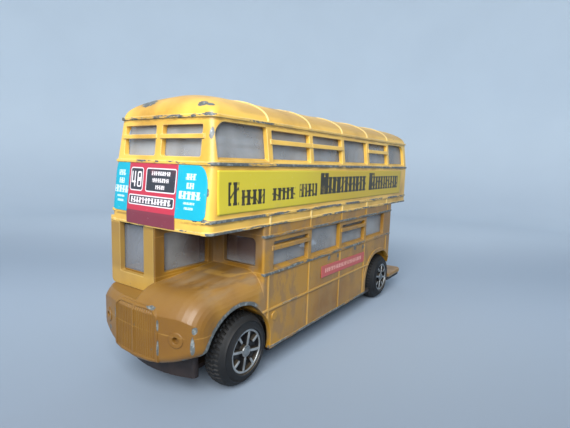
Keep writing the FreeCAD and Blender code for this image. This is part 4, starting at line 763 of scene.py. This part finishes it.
def wheel(end, side):
    """Tyre and dished wheel in one black moulding: the section turned about the axle, with the tread cut in
    and eight ribs standing in the dish."""
    station = AXLES[end]
    profile, first, last, rim = tyre_profile()
    angle = np.linspace(0, 2 * math.pi, 432, endpoint=False)
    radius = np.repeat(profile[None, :, 0], len(angle), 0)
    y = np.repeat(profile[None, :, 1], len(angle), 0)
    turn = np.repeat(angle[:, None], len(profile), 1)
    radius[:, first:last] -= tread_depth(turn[:, first:last], y[:, first:last])
    grid = np.stack([station + radius * np.cos(turn), side * y, AXLE_HIGH + radius * np.sin(turn)], -1)
    shell = Shell()
    shell.add(grid, ring=True, tube=True)
    shell.kinds[-1] = np.tile((np.arange(len(profile)) >= rim).astype(int), len(angle))
    for start, turned in spokes():
        middle = (start + 4.5) / 2
        place = (station + middle * math.cos(turned), side * 15.35, AXLE_HIGH - middle * math.sin(turned))
        shell.add(pillow(place, ((4.55 - start) / 2, 0.43, 0.26), 0.2, -turned), kind=1)
    name = "wheel_%s_%s" % (end, SIDES[side])
    body = "%s_wheel_%s" % (end, SIDES[side])
    shell.piece(name, [tyre_black, wheel_black], body, [body])


def spokes():
    """Inner end and angle of each spoke: four long, and a short one between each pair."""
    return [(1.25 if k % 2 == 0 else 2.7, math.radians(-12 + 45 * k)) for k in range(8)]


def trim(end, side):
    """Silver foil trim: a ring of rounded section, eight crowned spokes and a hub washer."""
    station = AXLES[end]
    shell = Shell()
    angle, turn = np.meshgrid(np.linspace(0, 2 * math.pi, 96, endpoint=False),
                              np.linspace(0, 2 * math.pi, 16, endpoint=False), indexing="ij")

    def hoop(middle, reach, depth, level):
        radius = middle + reach * signed_power(np.cos(turn), 0.7)
        y = side * (level + depth * signed_power(np.sin(turn), 0.7))
        return np.stack([station + radius * np.cos(angle), y, AXLE_HIGH + radius * np.sin(angle)], -1)

    shell.add(hoop(4.78, 0.27, 0.16, 15.97), ring=True, tube=True)
    shell.add(hoop(1.17, 0.19, 0.16, 15.95), ring=True, tube=True)
    for start, turned in spokes():
        middle = (start + 4.6) / 2
        place = (station + middle * math.cos(turned), side * 15.95, AXLE_HIGH - middle * math.sin(turned))
        shell.add(pillow(place, ((4.6 - start) / 2, 0.16, 0.3), 0.4, -turned, 8, 24))
    name = "silver_%s_%s" % (end, SIDES[side])
    body = "%s_wheel_%s" % (end, SIDES[side])
    shell.piece(name, [trim_silver], body, ["%s_trim_%s" % (end, SIDES[side])])


for end in AXLES:
    for side in SIDES:
        wheel(end, side)
        trim(end, side)


# Stage, light and camera

def stage_floor():
    """A pale sheet: flat under the toy, then swept up all round in a wide curve."""
    flat, curve = 0.3, 0.14
    sweep = np.linspace(0.05, math.pi / 2, 16)
    radius = np.concatenate([np.linspace(0.001, flat, 20), flat + curve * np.sin(sweep),
                             np.full(6, flat + curve)])
    height = np.concatenate([np.zeros(20), curve * (1 - np.cos(sweep)), np.linspace(0.16, 0.6, 6)])
    turn = np.linspace(0, 2 * math.pi, 96, endpoint=False)
    grid = np.stack([radius[None, :] * np.cos(turn)[:, None], radius[None, :] * np.sin(turn)[:, None],
                     np.repeat(height[None, :], len(turn), 0)], -1)
    mesh = bpy.data.meshes.new("sheet")
    mesh.from_pydata(grid.reshape(-1, 3).tolist(), [], quads(*grid.shape[:2], ring=True)[:, ::-1].tolist())
    made = bpy.data.objects.new("backdrop_sheet", mesh)
    bpy.context.scene.collection.objects.link(made)
    tidy_mesh(mesh)
    mesh.polygons.foreach_set("use_smooth", np.ones(len(mesh.polygons), bool))
    f = Finish("backdrop_paper")
    # The paper's colour carries painted light: painted shade towards the camera, paler far behind where the
    # sheet curves up, and paler up the wall, partly its whiter paper and partly painted light.
    rise = f.fade(f.z, 0.0, 90.0)
    towards = f.x * 0.82 + f.y * 0.57
    colour = f.tint(shade(160, 174, 190), shade(106, 116, 128), f.fade(towards, -20.0, 110.0))
    colour = f.tint(colour, shade(206, 218, 230), f.fade(towards, -50.0, -190.0))
    colour = f.tint(colour, shade(224, 236, 246), rise)
    colour = f.tint(colour, shade(150, 166, 184), f.noise(60.0, 2.0) * 0.15)
    mesh.materials.append(f.surface(Base_Color=colour, Roughness=0.9))


stage_floor()

world = bpy.data.worlds.new("tent")
bpy.context.scene.world = world
world.use_nodes = True
world.node_tree.nodes["Background"].inputs["Color"].default_value = (0.93, 0.97, 1.0, 1.0)
world.node_tree.nodes["Background"].inputs["Strength"].default_value = 0.62


def soft_light(name, place, target, size, power):
    """A round soft lamp that looks at a target."""
    lamp = bpy.data.lights.new(name, "AREA")
    lamp.energy, lamp.size, lamp.shape = power, size * MM, "DISK"
    made = bpy.data.objects.new(name, lamp)
    made.location = Vector(place) * MM
    made.rotation_euler = (Vector(target) * MM - made.location).to_track_quat("-Z", "Y").to_euler()
    bpy.context.scene.collection.objects.link(made)


soft_light("window", (235, 115, 190), (0, 0, 50), 240, 1.45)

# The place, the direction and the lens that were fitted to the photograph.
camera = bpy.data.cameras.new("camera")
camera.lens, camera.sensor_width, camera.sensor_fit = 25.87, 36.0, "HORIZONTAL"
camera.clip_start, camera.clip_end = 0.005, 10.0
viewer = bpy.data.objects.new("camera", camera)
bpy.context.scene.collection.objects.link(viewer)
yaw, pitch, roll = (math.radians(angle) for angle in (34.52, 7.28, 1.86))
ahead = Vector((-math.cos(yaw) * math.cos(pitch), -math.sin(yaw) * math.cos(pitch), -math.sin(pitch)))
level = ahead.cross(Vector((0, 0, 1))).normalized()
upright = level.cross(ahead)
right = math.cos(roll) * level + math.sin(roll) * upright
top = math.cos(roll) * upright - math.sin(roll) * level
pose = Matrix((right, top, -ahead)).transposed().to_4x4()
pose.translation = Vector((110.55, 72.09, 51.08)) * MM
viewer.matrix_world = pose
bpy.context.scene.camera = viewer

bpy.context.scene.view_settings.view_transform = "Standard"
bpy.context.view_layer.update()
